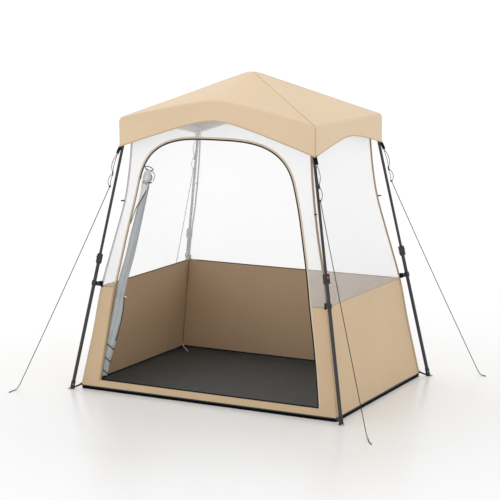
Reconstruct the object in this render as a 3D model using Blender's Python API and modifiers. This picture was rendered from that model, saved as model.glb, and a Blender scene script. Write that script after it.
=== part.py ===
"""Instant screen house: folding hub frame with telescopic legs, canopy, screened body, floor and guy lines.

Metres, +Z up. The origin is on the ground under the middle of the floor. The front, with the door, faces -Y.
The frame folds like an umbrella: the hub is pulled down between the legs and the four roof ribs swing up.
"""

import math

import bmesh
import bpy
from mathutils import Matrix, Vector

OBJECT_NAME = "screen_house"

# Canopy: a pyramid roof over a valance. The front and back edges rise in an arch, and so do the hems
APEX_HEIGHT = 2.150
CANOPY_HALF_X = 0.733
CANOPY_HALF_Y = 0.525
FOLD_CORNER_HEIGHT = 1.853
FRONT_FOLD_RISE = 0.135
HEM_CORNER_HEIGHT = 1.655
FRONT_HEM_RISE = 0.199
SIDE_HEM_RISE = 0.088
ARCH_TOP_RADIUS = 0.16
CANOPY_THICKNESS = 0.002
CANOPY_SIDE_STEPS = 12
CANOPY_ROOF_RINGS = 4
CANOPY_VALANCE_RINGS = 2

# Body: height, half width and half depth at the wall corners, from the ground up
WALL_PROFILE = (
    (0.027, 0.963, 0.687),
    (0.200, 0.933, 0.661),
    (0.400, 0.897, 0.634),
    (0.7085, 0.847, 0.599),
    (0.900, 0.806, 0.562),
    (1.100, 0.756, 0.531),
    (1.290, 0.714, 0.499),
    (1.500, 0.685, 0.482),
    (1.740, 0.667, 0.468),
)
LOWER_WALL_TOP = 0.7085
WALL_TOP = 1.740
FRONT_WALL_ARCH = 0.190
SIDE_WALL_ARCH = 0.060
WALL_THICKNESS = 0.0015
WALL_SEAM_GAP = 0.001
WALL_SIDE_STEPS = 8

# Door opening: its sides close in as they rise and round over into a flat arch.
# Its middle line leans a little to the left
DOOR_SILL = 0.077
DOOR_TOP = 1.730
DOOR_ARCH_START = 1.400
DOOR_SILL_HALF_WIDTH = 0.820
DOOR_SIDE_LEAN = 0.115
DOOR_SIDE_CURVE = 0.045
DOOR_MIDDLE = 0.012
DOOR_MIDDLE_LEAN = 0.020
DOOR_ARCH_POWER = 3.2
DOOR_SIDE_STEPS = 6
DOOR_ARCH_STEPS = 9
DOOR_TRIM_RADIUS = 0.005
DOOR_TRIM_CLEARANCE = 0.008
DOOR_CUT_FRONT = -0.80
DOOR_CUT_BACK = -0.20

# Floor tray
FLOOR_HALF_X = 0.961
FLOOR_HALF_Y = 0.685
FLOOR_RIM_HEIGHT = 0.026
FLOOR_THICKNESS = 0.006

# Rolled door panel: centre line and roll radius from the sill up
DOOR_ROLL_LINE = (
    ((-0.802, -0.634, 0.100), 0.021),
    ((-0.746, -0.582, 0.500), 0.028),
    ((-0.668, -0.521, 0.920), 0.031),
    ((-0.604, -0.461, 1.300), 0.031),
    ((-0.572, -0.441, 1.500), 0.027),
)

# Frame: every corner's rib and leg lie in the upright plane through the hub and the canopy's corner
AZIMUTH = math.atan2(CANOPY_HALF_Y, CANOPY_HALF_X)
CORNERS = {
    "front_left": math.pi + AZIMUTH,
    "front_right": -AZIMUTH,
    "back_right": AZIMUTH,
    "back_left": math.pi - AZIMUTH,
}
HUB_PIVOT_RADIUS = 0.055
HUB_PIVOT_HEIGHT = 2.100
LEG_FOOT_RADIUS = 1.250
LEG_LEAN = 0.225
LEG_HEAD_HEIGHT = 1.840
LEG_TILT = math.atan(LEG_LEAN)
LEG_HEAD_RADIUS = LEG_FOOT_RADIUS - LEG_LEAN * LEG_HEAD_HEIGHT
ELBOW_OFFSET = 0.030
ELBOW_PIVOT_RADIUS = LEG_HEAD_RADIUS - ELBOW_OFFSET * math.cos(LEG_TILT)
ELBOW_PIVOT_HEIGHT = LEG_HEAD_HEIGHT - ELBOW_OFFSET * math.sin(LEG_TILT)
RIB_SLOPE = math.atan2(HUB_PIVOT_HEIGHT - ELBOW_PIVOT_HEIGHT, ELBOW_PIVOT_RADIUS - HUB_PIVOT_RADIUS)
RIB_LENGTH = math.hypot(HUB_PIVOT_HEIGHT - ELBOW_PIVOT_HEIGHT, ELBOW_PIVOT_RADIUS - HUB_PIVOT_RADIUS)

RIB_RADIUS = 0.0080
EYE_RADIUS = 0.0115
EYE_WIDTH = 0.0180
PIN_RADIUS = 0.0030
PIN_HOLE_RADIUS = 0.0035
FORK_GAP = 0.0192
FORK_WIDTH = 0.0310
PIN_CUT_REACH = 0.030
EYE_LUG_LENGTH = 0.034
EYE_LUG_HALF_HEIGHT = 0.0085
RIB_TUBE_START = 0.020

HUB_RADIUS = 0.034
HUB_BOTTOM = 2.075
HUB_TOP = 2.118
HUB_ARM_REACH = 0.068
HUB_ARM_HEIGHT = 0.026
HUB_SLOT_START = 0.0405
HUB_SLOT_END = 0.120
SLOT_CUT_MARGIN = 0.050
CAP_GAP = 0.0005
CAP_HEIGHT = 0.021
CAP_RADIUS = 0.0335
CAP_RIM_HEIGHT = 0.004
CAP_STEPS = 5

ELBOW_SOCKET_RADIUS = 0.0162
ELBOW_SOCKET_BOTTOM = -0.085
ELBOW_SOCKET_TOP = 0.012
ELBOW_EAR_REACH = 0.0435
ELBOW_EAR_ROOT = 0.004
ELBOW_EAR_HEIGHT = 0.026
ELBOW_SLOT_START = -0.060
ELBOW_SLOT_END = -0.0166
NOSE_REACH = 0.036
NOSE_WIDTH = 0.016
NOSE_HEIGHT = 0.016
NOSE_ROUNDING = 0.003

UPPER_TUBE_RADIUS = 0.0095
UPPER_TUBE_BORE = 0.0080
LOWER_TUBE_RADIUS = 0.0120
LOWER_TUBE_BORE = 0.0102
TUBE_LAP = 0.150
TUBE_CUT_MARGIN = 0.010
SOCKET_CLEARANCE = 0.0005

# Heights on the leg of its fittings, measured from the ground
LOCK_HEIGHT = 0.900
LOCK_LENGTH = 0.066
LOCK_HALF_X = 0.0190
LOCK_HALF_Y = 0.0175
LOCK_ROUNDING = 0.005
LOCK_GRIP = 0.010
BUTTON_HEIGHT = 0.908
BUTTON_RADIUS = 0.0062
BUTTON_PROUD = 0.0040
BUTTON_LENGTH = 0.0062
BUTTON_POCKET_START = 0.0133
BUTTON_CLEARANCE = 0.0006
CLIP_HEIGHT = 0.732
CLIP_LENGTH = 0.030
CLIP_RADIUS = 0.0175
CLIP_REACH = 0.040
CLIP_CLEARANCE = 0.0010
CLIP_TONGUE_ROOT = -0.014
CLIP_TONGUE_WIDTH = 0.009
CLIP_TONGUE_INSET = 0.002
CLIP_TONGUE_ROUNDING = 0.0015
FOOT_CUP_RADIUS = 0.0148
FOOT_CUP_LENGTH = 0.055
FOOT_PAD_RADIUS = 0.0175
FOOT_PAD_HEIGHT = 0.006
FOOT_STOP_HEIGHT = 0.015
GROUND_CUT_SIZE = 0.200

# Guy lines: each hangs steeply from the canopy's corner to its knot and runs straight on to the ground.
# The places are where each one meets the ground, and where its tail ends
GUY_RADIUS = 0.0020
GUY_GROUND = {
    "front_left": ((-1.331, -0.892), (-1.328, -1.020)),
    "front_right": ((1.255, -0.889), (1.361, -1.046)),
    "back_right": ((1.305, 0.937), (1.378, 0.892)),
    "back_left": ((-1.263, 0.897), (-1.330, 0.960)),
}
GUY_GROUND_HEIGHT = 0.010
GUY_TOP_GAP = 0.006
GUY_OUTSET = 0.004
GUY_KNOT_SHARE = 0.09
GUY_KNOT_DROP = 0.260
SLIDER_SHARE = 0.67
SLIDER_SIZE = (0.013, 0.008, 0.026)
SLIDER_HOLE_RADIUS = 0.0026
SLIDER_ROUNDING = 0.001

ROUND_SEGMENTS = 24
SMALL_SEGMENTS = 16


def clear_scene():
    for thing in list(bpy.data.objects):
        bpy.data.objects.remove(thing, do_unlink=True)


def new_collection(name):
    collection = bpy.data.collections.new(name)
    bpy.context.scene.collection.children.link(collection)
    return collection


def new_material(name, color, roughness, metallic=0.0):
    material = bpy.data.materials.new(name)
    material.use_nodes = True
    shader = material.node_tree.nodes["Principled BSDF"]
    shader.inputs["Base Color"].default_value = (*color, 1.0)
    shader.inputs["Roughness"].default_value = roughness
    shader.inputs["Metallic"].default_value = metallic
    return material


clear_scene()
PARTS = new_collection(OBJECT_NAME)
CUTTERS = new_collection("cutters")
FRAME_STEEL = new_material("frame_steel", (0.075, 0.078, 0.082), 0.38, 0.6)
FITTING_PLASTIC = new_material("fitting_plastic", (0.030, 0.031, 0.033), 0.55)
PIN_STEEL = new_material("pin_steel", (0.62, 0.62, 0.63), 0.30, 1.0)
BUTTON_RED = new_material("button_red", (0.62, 0.08, 0.07), 0.45)
CANOPY_CLOTH = new_material("canopy_cloth", (0.80, 0.62, 0.42), 0.80)
WALL_CLOTH = new_material("wall_cloth", (0.66, 0.48, 0.30), 0.80)
SCREEN_MESH = new_material("screen_mesh", (0.86, 0.88, 0.88), 0.70)
FLOOR_SHEET = new_material("floor_sheet", (0.045, 0.045, 0.047), 0.70)
TRIM_CLOTH = new_material("trim_cloth", (0.60, 0.44, 0.28), 0.80)
CORD = new_material("cord", (0.16, 0.16, 0.16), 0.80)


# Making and joining solids


def loose_object(name, bm):
    """A work object with the bmesh's faces, kept in the cutters collection until it is used up."""
    mesh = bpy.data.meshes.new(name)
    bm.to_mesh(mesh)
    bm.free()
    thing = bpy.data.objects.new(name, mesh)
    thing.hide_render = True
    thing.display_type = "WIRE"
    CUTTERS.objects.link(thing)
    return thing


def cylinder(radius, start, end, segments=ROUND_SEGMENTS):
    start, end = Vector(start), Vector(end)
    length = (end - start).length
    turn = (end - start).to_track_quat("Z", "Y").to_matrix().to_4x4()
    bm = bmesh.new()
    bmesh.ops.create_cone(
        bm,
        cap_ends=True,
        segments=segments,
        radius1=radius,
        radius2=radius,
        depth=length,
        matrix=Matrix.Translation((start + end) / 2) @ turn,
    )
    return loose_object("cylinder", bm)


def block(low, high, bevel=0.0):
    low, high = Vector(low), Vector(high)
    shape = Matrix.Translation((low + high) / 2) @ Matrix.Diagonal((*(high - low), 1.0))
    bm = bmesh.new()
    bmesh.ops.create_cube(bm, size=1.0, matrix=shape)
    if bevel:
        bmesh.ops.bevel(bm, geom=bm.edges[:], offset=bevel, segments=2, profile=0.5, affect="EDGES")
    return loose_object("block", bm)


def baked(base, joined=(), cut=()):
    """The mesh of base with the joined solids added and the cut solids taken away."""
    for operation, tools in (("UNION", joined), ("DIFFERENCE", cut)):
        for tool in tools:
            modifier = base.modifiers.new(operation.lower(), "BOOLEAN")
            modifier.operation = operation
            modifier.object = tool
    bpy.context.view_layer.update()
    graph = bpy.context.evaluated_depsgraph_get()
    mesh = bpy.data.meshes.new_from_object(base.evaluated_get(graph))
    for used in (base, *joined, *cut):
        bpy.data.objects.remove(used)
    mesh.shade_smooth()
    mesh.set_sharp_from_angle(angle=math.radians(35))
    return mesh


def place(name, data, material, parent=None):
    """A named part in the parts collection, sitting at its parent's origin."""
    thing = bpy.data.objects.new(name, data)
    if not data.materials:
        data.materials.append(material)
    thing.parent = parent
    PARTS.objects.link(thing)
    return thing


def empty(name, matrix, parent=None):
    thing = bpy.data.objects.new(name, None)
    thing.empty_display_size = 0.05
    PARTS.objects.link(thing)
    if parent:
        thing.parent = parent
    thing.matrix_world = matrix
    return thing


# Canopy and body: sheets laid round the object's four sides


def smooth_arch(distance, half_span, rise):
    """Height above the ends of an arch with a rounded top and nearly straight sides."""
    full = math.hypot(half_span, ARCH_TOP_RADIUS) - ARCH_TOP_RADIUS
    here = math.hypot(distance, ARCH_TOP_RADIUS) - ARCH_TOP_RADIUS
    return rise * (1.0 - here / full)


def round_arch(distance, half_span, rise):
    return rise * math.cos(math.pi * distance / (2.0 * half_span)) ** 2


def canopy_edge(x, y):
    """The heights of the roof's fold and of the hem at a place on the canopy's outline."""
    if abs(y) >= CANOPY_HALF_Y:
        fold = smooth_arch(x, CANOPY_HALF_X, FRONT_FOLD_RISE)
        hem = smooth_arch(x, CANOPY_HALF_X, FRONT_HEM_RISE)
    else:
        fold = 0.0
        hem = smooth_arch(y, CANOPY_HALF_Y, SIDE_HEM_RISE)
    return FOLD_CORNER_HEIGHT + fold, HEM_CORNER_HEIGHT + hem


def outline(half_x, half_y, steps):
    """Places round a rectangle, anticlockwise from its front left corner, with steps places on each side."""
    corners = ((-half_x, -half_y), (half_x, -half_y), (half_x, half_y), (-half_x, half_y))
    places = []
    for n, start in enumerate(corners):
        end = corners[(n + 1) % 4]
        for step in range(steps):
            share = step / steps
            places.append((start[0] + (end[0] - start[0]) * share, start[1] + (end[1] - start[1]) * share))
    return places


def skin_rings(bm, rings):
    """Faces between neighbouring closed rings, listed from the bottom up, that face away from the middle."""
    for lower, upper in zip(rings, rings[1:]):
        for n in range(len(lower)):
            m = (n + 1) % len(lower)
            bm.faces.new((lower[n], lower[m], upper[m], upper[n]))


def solid_sheet(name, bm, thickness, cut=()):
    """The closed solid of an open sheet whose faces point outwards, thickened towards the inside."""
    sheet = loose_object(name, bm)
    modifier = sheet.modifiers.new("thickness", "SOLIDIFY")
    modifier.thickness = thickness
    modifier.offset = -1.0
    modifier.use_even_offset = True
    return baked(sheet, cut=cut)


def canopy_mesh():
    places = outline(CANOPY_HALF_X, CANOPY_HALF_Y, CANOPY_SIDE_STEPS)
    bm = bmesh.new()
    rings = []
    for n in range(CANOPY_VALANCE_RINGS):
        share = n / CANOPY_VALANCE_RINGS
        ring = []
        for x, y in places:
            fold, hem = canopy_edge(x, y)
            ring.append(bm.verts.new((x, y, hem + (fold - hem) * share)))
        rings.append(ring)
    for n in range(CANOPY_ROOF_RINGS):
        share = n / CANOPY_ROOF_RINGS
        ring = []
        for x, y in places:
            fold = canopy_edge(x, y)[0]
            ring.append(bm.verts.new((x * (1 - share), y * (1 - share), fold + (APEX_HEIGHT - fold) * share)))
        rings.append(ring)
    skin_rings(bm, rings)
    apex = bm.verts.new((0, 0, APEX_HEIGHT))
    top = rings[-1]
    for n in range(len(top)):
        bm.faces.new((top[n], top[(n + 1) % len(top)], apex))
    return solid_sheet("canopy", bm, CANOPY_THICKNESS)


def wall_half_sizes(height):
    """The body's half width and half depth at a height, straight between the profile's points."""
    for (low, low_x, low_y), (high, high_x, high_y) in zip(WALL_PROFILE, WALL_PROFILE[1:]):
        if height <= high or high == WALL_TOP:
            share = min(max((height - low) / (high - low), 0.0), 1.0)
            return low_x + (high_x - low_x) * share, low_y + (high_y - low_y) * share


def door_half_width(height, offset=0.0):
    """The width from the door's middle to its side, or to the side's line carried on above that."""
    rise = height - DOOR_SILL
    return DOOR_SILL_HALF_WIDTH + offset - DOOR_SIDE_LEAN * rise - DOOR_SIDE_CURVE * rise * rise


def door_outline(offset):
    """The door's half widths from the sill to the top, each with its height, moved outwards by offset."""
    points = []
    for step in range(DOOR_SIDE_STEPS):
        height = DOOR_SILL + (DOOR_ARCH_START - DOOR_SILL) * step / DOOR_SIDE_STEPS
        points.append((door_half_width(height, offset), height))
    rise = DOOR_TOP + offset - DOOR_ARCH_START
    for step in range(DOOR_ARCH_STEPS + 1):
        angle = 0.5 * math.pi * step / DOOR_ARCH_STEPS
        height = DOOR_ARCH_START + rise * math.sin(angle) ** (2.0 / DOOR_ARCH_POWER)
        half_width = door_half_width(height, offset)
        points.append((half_width * math.cos(angle) ** (2.0 / DOOR_ARCH_POWER), height))
    points[-1] = (0.0, points[-1][1])
    return points


def door_middle(height):
    return DOOR_MIDDLE - DOOR_MIDDLE_LEAN * (height - DOOR_SILL)


def both_sides(halves):
    """The whole outline as (x, z), from the left foot over the top to the right foot."""
    left = [(door_middle(z) - half, z) for half, z in halves[:-1]]
    return left + [(door_middle(z) + half, z) for half, z in reversed(halves)]


def door_cutter():
    """A prism through the front wall only, as wide as the door and its trim."""
    points = both_sides(door_outline(DOOR_TRIM_CLEARANCE))
    bm = bmesh.new()
    front = bm.faces.new([bm.verts.new((x, DOOR_CUT_FRONT, z)) for x, z in points])
    pushed = bmesh.ops.extrude_face_region(bm, geom=[front])
    moved = [v for v in pushed["geom"] if isinstance(v, bmesh.types.BMVert)]
    bmesh.ops.translate(bm, verts=moved, vec=(0, DOOR_CUT_BACK - DOOR_CUT_FRONT, 0))
    bmesh.ops.recalc_face_normals(bm, faces=bm.faces[:])
    return loose_object("door_cutter", bm)


def wall_ring(bm, height, front_arch=0.0, side_arch=0.0):
    half_x, half_y = wall_half_sizes(height)
    ring = []
    for x, y in outline(half_x, half_y, WALL_SIDE_STEPS):
        if abs(y) >= half_y:
            rise = smooth_arch(x, half_x, front_arch)
        else:
            rise = round_arch(y, half_y, side_arch)
        ring.append(bm.verts.new((x, y, height + rise)))
    return ring


def lower_walls_mesh():
    bm = bmesh.new()
    heights = [height for height, _, _ in WALL_PROFILE if height <= LOWER_WALL_TOP]
    skin_rings(bm, [wall_ring(bm, height) for height in heights])
    return solid_sheet("lower_walls", bm, WALL_THICKNESS, cut=[door_cutter()])


def screen_walls_mesh():
    bm = bmesh.new()
    heights = [height for height, _, _ in WALL_PROFILE if height > LOWER_WALL_TOP]
    rings = [wall_ring(bm, LOWER_WALL_TOP + WALL_SEAM_GAP)]
    rings += [wall_ring(bm, height) for height in heights[:-1]]
    rings.append(wall_ring(bm, WALL_TOP, FRONT_WALL_ARCH, SIDE_WALL_ARCH))
    skin_rings(bm, rings)
    return solid_sheet("screen_walls", bm, WALL_THICKNESS, cut=[door_cutter()])


def floor_mesh():
    tray = block((-FLOOR_HALF_X, -FLOOR_HALF_Y, 0), (FLOOR_HALF_X, FLOOR_HALF_Y, FLOOR_RIM_HEIGHT))
    edge = FLOOR_THICKNESS
    inside = block(
        (edge - FLOOR_HALF_X, edge - FLOOR_HALF_Y, edge),
        (FLOOR_HALF_X - edge, FLOOR_HALF_Y - edge, FLOOR_RIM_HEIGHT + edge),
    )
    return baked(tray, cut=[inside])


def tube_curve(points, radius, radii=None):
    """A curve tube with filled ends through the points."""
    curve = bpy.data.curves.new("tube", "CURVE")
    curve.dimensions = "3D"
    curve.bevel_depth = radius
    curve.bevel_resolution = 2
    curve.use_fill_caps = True
    spline = curve.splines.new("POLY")
    spline.points.add(len(points) - 1)
    for n, place_here in enumerate(points):
        spline.points[n].co = (*place_here, 1.0)
        spline.points[n].radius = 1.0 if radii is None else radii[n]
    return curve


def door_trim_curve():
    edge = door_outline(0.0)
    edge[0] = (edge[0][0], DOOR_SILL + DOOR_TRIM_CLEARANCE)
    points = []
    for x, z in both_sides(edge):
        points.append((x, WALL_THICKNESS / 2 - wall_half_sizes(z)[1], z))
    return tube_curve(points, DOOR_TRIM_RADIUS)


def door_roll_curve():
    widest = max(radius for _, radius in DOOR_ROLL_LINE)
    return tube_curve(
        [line_point for line_point, _ in DOOR_ROLL_LINE],
        widest,
        [radius / widest for _, radius in DOOR_ROLL_LINE],
    )


# Frame: hub, ribs and legs. A corner's parts are made once, in their own joint's frame, for all four corners


def pin_hole(x, z):
    """The cutter of a pin's hole, along Y."""
    return cylinder(PIN_HOLE_RADIUS, (x, -PIN_CUT_REACH, z), (x, PIN_CUT_REACH, z), SMALL_SEGMENTS)


def hub_mesh():
    core = cylinder(HUB_RADIUS, (0, 0, HUB_BOTTOM), (0, 0, HUB_TOP))
    arms = []
    cuts = []
    for angle in CORNERS.values():
        turn = Matrix.Rotation(angle, 4, "Z")
        low = HUB_PIVOT_HEIGHT - HUB_ARM_HEIGHT / 2
        high = HUB_PIVOT_HEIGHT + HUB_ARM_HEIGHT / 2
        arm = block((0, -FORK_WIDTH / 2, low), (HUB_ARM_REACH, FORK_WIDTH / 2, high))
        slot = block(
            (HUB_SLOT_START, -FORK_GAP / 2, low - SLOT_CUT_MARGIN),
            (HUB_SLOT_END, FORK_GAP / 2, high + SLOT_CUT_MARGIN),
        )
        hole = pin_hole(HUB_PIVOT_RADIUS, HUB_PIVOT_HEIGHT)
        for piece in (arm, slot, hole):
            piece.data.transform(turn)
        arms.append(arm)
        cuts += [slot, hole]
    return baked(core, joined=arms, cut=cuts)


def hub_cap_mesh():
    """A dome over a short rim, turned round the hub's axis from a profile that runs down its outer side."""
    foot = HUB_TOP + CAP_GAP
    dome_height = CAP_HEIGHT - CAP_RIM_HEIGHT
    profile = []
    for step in range(CAP_STEPS + 1):
        angle = math.pi / 2 * step / CAP_STEPS
        profile.append((CAP_RADIUS * math.sin(angle), foot + CAP_RIM_HEIGHT + dome_height * math.cos(angle)))
    profile += [(CAP_RADIUS, foot), (0.0, foot)]
    bm = bmesh.new()
    verts = [bm.verts.new((x, 0, z)) for x, z in profile]
    for a, b in zip(verts, verts[1:]):
        bm.edges.new((a, b))
    cap = loose_object("hub_cap", bm)
    screw = cap.modifiers.new("turn", "SCREW")
    screw.steps = ROUND_SEGMENTS
    screw.render_steps = ROUND_SEGMENTS
    screw.use_merge_vertices = True
    screw.merge_threshold = 0.0001
    return baked(cap)


def pin_mesh():
    """A plain pin across a joint, along Y."""
    return baked(cylinder(PIN_RADIUS, (0, -FORK_WIDTH / 2, 0), (0, FORK_WIDTH / 2, 0), SMALL_SEGMENTS))


def rib_mesh():
    """A tube along X with a flat eye at each end: one on the hub's pin, one on the elbow's."""
    tube = cylinder(RIB_RADIUS, (RIB_TUBE_START, 0, 0), (RIB_LENGTH - RIB_TUBE_START, 0, 0), SMALL_SEGMENTS)
    half = EYE_WIDTH / 2
    joined = []
    holes = []
    for x, toward in ((0.0, 1), (RIB_LENGTH, -1)):
        joined.append(cylinder(EYE_RADIUS, (x, -half, 0), (x, half, 0)))
        lug = sorted((x, x + toward * EYE_LUG_LENGTH))
        joined.append(block((lug[0], -half, -EYE_LUG_HALF_HEIGHT), (lug[1], half, EYE_LUG_HALF_HEIGHT)))
        holes.append(pin_hole(x, 0))
    return baked(tube, joined=joined, cut=holes)


# A leg's parts have Z up along the leg, X outwards, and the origin on the leg's axis beside the elbow's pin


def along_leg(height):
    return (height - LEG_HEAD_HEIGHT) / math.cos(LEG_TILT)


FOOT_END = along_leg(0.0)
LOWER_TUBE_FOOT = FOOT_END + FOOT_STOP_HEIGHT
LOCK_TOP = along_leg(LOCK_HEIGHT) + LOCK_LENGTH / 2
LOCK_BOTTOM = along_leg(LOCK_HEIGHT) - LOCK_LENGTH / 2
LOWER_TUBE_HEAD = LOCK_TOP - LOCK_GRIP
UPPER_TUBE_FOOT = LOWER_TUBE_HEAD - TUBE_LAP
UPPER_TUBE_HEAD = -0.0225


def elbow_mesh():
    """A socket on the leg's head, two ears for the rib, and a nose that holds the canopy's corner out."""
    socket = cylinder(ELBOW_SOCKET_RADIUS, (0, 0, ELBOW_SOCKET_BOTTOM), (0, 0, ELBOW_SOCKET_TOP))
    ears = block(
        (-ELBOW_EAR_REACH, -FORK_WIDTH / 2, -ELBOW_EAR_HEIGHT / 2),
        (ELBOW_EAR_ROOT, FORK_WIDTH / 2, ELBOW_EAR_HEIGHT / 2),
    )
    nose = block((0.0, -NOSE_WIDTH / 2, -NOSE_HEIGHT), (NOSE_REACH, NOSE_WIDTH / 2, 0.0), bevel=NOSE_ROUNDING)
    bore = cylinder(
        UPPER_TUBE_RADIUS + SOCKET_CLEARANCE,
        (0, 0, ELBOW_SOCKET_BOTTOM - TUBE_CUT_MARGIN),
        (0, 0, UPPER_TUBE_HEAD + SOCKET_CLEARANCE),
    )
    slot = block(
        (ELBOW_SLOT_START, -FORK_GAP / 2, -SLOT_CUT_MARGIN),
        (ELBOW_SLOT_END, FORK_GAP / 2, SLOT_CUT_MARGIN),
    )
    hole = pin_hole(-ELBOW_OFFSET, 0)
    return baked(socket, joined=[ears, nose], cut=[slot, bore, hole])


def tube_mesh(radius, bore, foot, head):
    tube = cylinder(radius, (0, 0, foot), (0, 0, head))
    return baked(tube, cut=[cylinder(bore, (0, 0, foot - TUBE_CUT_MARGIN), (0, 0, head + TUBE_CUT_MARGIN))])


def lock_collar_mesh():
    body = block(
        (-LOCK_HALF_X, -LOCK_HALF_Y, LOCK_BOTTOM),
        (LOCK_HALF_X, LOCK_HALF_Y, LOCK_TOP),
        bevel=LOCK_ROUNDING,
    )
    lower_bore = cylinder(
        LOWER_TUBE_RADIUS + SOCKET_CLEARANCE,
        (0, 0, LOCK_BOTTOM - TUBE_CUT_MARGIN),
        (0, 0, LOWER_TUBE_HEAD + SOCKET_CLEARANCE),
    )
    upper_bore = cylinder(
        UPPER_TUBE_RADIUS + SOCKET_CLEARANCE,
        (0, 0, LOCK_BOTTOM),
        (0, 0, LOCK_TOP + TUBE_CUT_MARGIN),
    )
    height = along_leg(BUTTON_HEIGHT)
    pocket = cylinder(
        BUTTON_RADIUS + BUTTON_CLEARANCE,
        (BUTTON_POCKET_START, 0, height),
        (LOCK_HALF_X + TUBE_CUT_MARGIN, 0, height),
        SMALL_SEGMENTS,
    )
    return baked(body, cut=[lower_bore, upper_bore, pocket])


def lock_button_mesh():
    """The button's cap, along X, with its origin on the leg's axis."""
    outer = LOCK_HALF_X + BUTTON_PROUD
    height = along_leg(BUTTON_HEIGHT)
    button = cylinder(BUTTON_RADIUS, (outer - BUTTON_LENGTH, 0, height), (outer, 0, height), SMALL_SEGMENTS)
    return baked(button)


def leg_clip_mesh():
    """A loose ring round the lower tube with a tongue towards the body's corner."""
    height = along_leg(CLIP_HEIGHT)
    low, high = height - CLIP_LENGTH / 2, height + CLIP_LENGTH / 2
    ring = cylinder(CLIP_RADIUS, (0, 0, low), (0, 0, high))
    tongue = block(
        (-CLIP_REACH, -CLIP_TONGUE_WIDTH / 2, low + CLIP_TONGUE_INSET),
        (CLIP_TONGUE_ROOT, CLIP_TONGUE_WIDTH / 2, high - CLIP_TONGUE_INSET),
        bevel=CLIP_TONGUE_ROUNDING,
    )
    bore = cylinder(
        LOWER_TUBE_RADIUS + CLIP_CLEARANCE,
        (0, 0, low - TUBE_CUT_MARGIN),
        (0, 0, high + TUBE_CUT_MARGIN),
    )
    return baked(ring, joined=[tongue], cut=[bore])


def foot_mesh():
    """A cup on the tube's end, on a flat round pad that is level with the ground."""
    tilt = Matrix.Rotation(LEG_TILT, 4, "Y")
    cup = cylinder(FOOT_CUP_RADIUS, (0, 0, FOOT_END - TUBE_CUT_MARGIN), (0, 0, FOOT_END + FOOT_CUP_LENGTH))
    pad = cylinder(FOOT_PAD_RADIUS, (0, 0, 0), (0, 0, FOOT_PAD_HEIGHT))
    cut = GROUND_CUT_SIZE
    ground = block((-cut, -cut, -cut), (cut, cut, 0.0))
    for level in (pad, ground):
        level.data.transform(Matrix.Translation((0, 0, FOOT_END)) @ tilt)
    bore = cylinder(
        LOWER_TUBE_RADIUS + SOCKET_CLEARANCE,
        (0, 0, LOWER_TUBE_FOOT - SOCKET_CLEARANCE),
        (0, 0, FOOT_END + FOOT_CUP_LENGTH + TUBE_CUT_MARGIN),
    )
    return baked(cup, joined=[pad], cut=[ground, bore])


# Guy lines


def guy_top(corner):
    """Just under the canopy's corner and a little outside it."""
    angle = CORNERS[corner]
    reach = math.hypot(CANOPY_HALF_X, CANOPY_HALF_Y) + GUY_OUTSET
    return Vector((reach * math.cos(angle), reach * math.sin(angle), HEM_CORNER_HEIGHT - GUY_TOP_GAP))


def guy_knot(corner):
    (ground_x, ground_y), _ = GUY_GROUND[corner]
    knot = guy_top(corner).lerp(Vector((ground_x, ground_y, 0)), GUY_KNOT_SHARE)
    knot.z = guy_top(corner).z - GUY_KNOT_DROP
    return knot


def guy_curve(corner):
    (ground_x, ground_y), (tail_x, tail_y) = GUY_GROUND[corner]
    rest = GUY_RADIUS * 1.2
    middle = Vector(((ground_x + tail_x) / 2, (ground_y + tail_y) / 2, rest))
    points = [
        guy_top(corner),
        guy_knot(corner),
        Vector((ground_x, ground_y, GUY_GROUND_HEIGHT)),
        Vector((ground_x, ground_y, rest)).lerp(middle, 0.2),
        middle,
        Vector((tail_x, tail_y, GUY_GROUND_HEIGHT / 2)),
    ]
    return tube_curve(points, GUY_RADIUS)


def guy_slider_matrix(corner):
    """On the guy line above its knot, with Z along it."""
    top, knot = guy_top(corner), guy_knot(corner)
    turn = (top - knot).to_track_quat("Z", "Y").to_matrix().to_4x4()
    return Matrix.Translation(top.lerp(knot, SLIDER_SHARE)) @ turn


def guy_slider_mesh():
    x, y, z = (size / 2 for size in SLIDER_SIZE)
    body = block((-x, -y, -z), (x, y, z), bevel=SLIDER_ROUNDING)
    hole = cylinder(SLIDER_HOLE_RADIUS, (0, 0, -2 * z), (0, 0, 2 * z), SMALL_SEGMENTS)
    return baked(body, cut=[hole])


# The whole object


def build_soft_parts():
    place("canopy", canopy_mesh(), CANOPY_CLOTH)
    place("screen_walls", screen_walls_mesh(), SCREEN_MESH)
    place("lower_walls", lower_walls_mesh(), WALL_CLOTH)
    place("floor_sheet", floor_mesh(), FLOOR_SHEET)
    place("door_trim", door_trim_curve(), TRIM_CLOTH)
    place("door_roll", door_roll_curve(), SCREEN_MESH)


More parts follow.
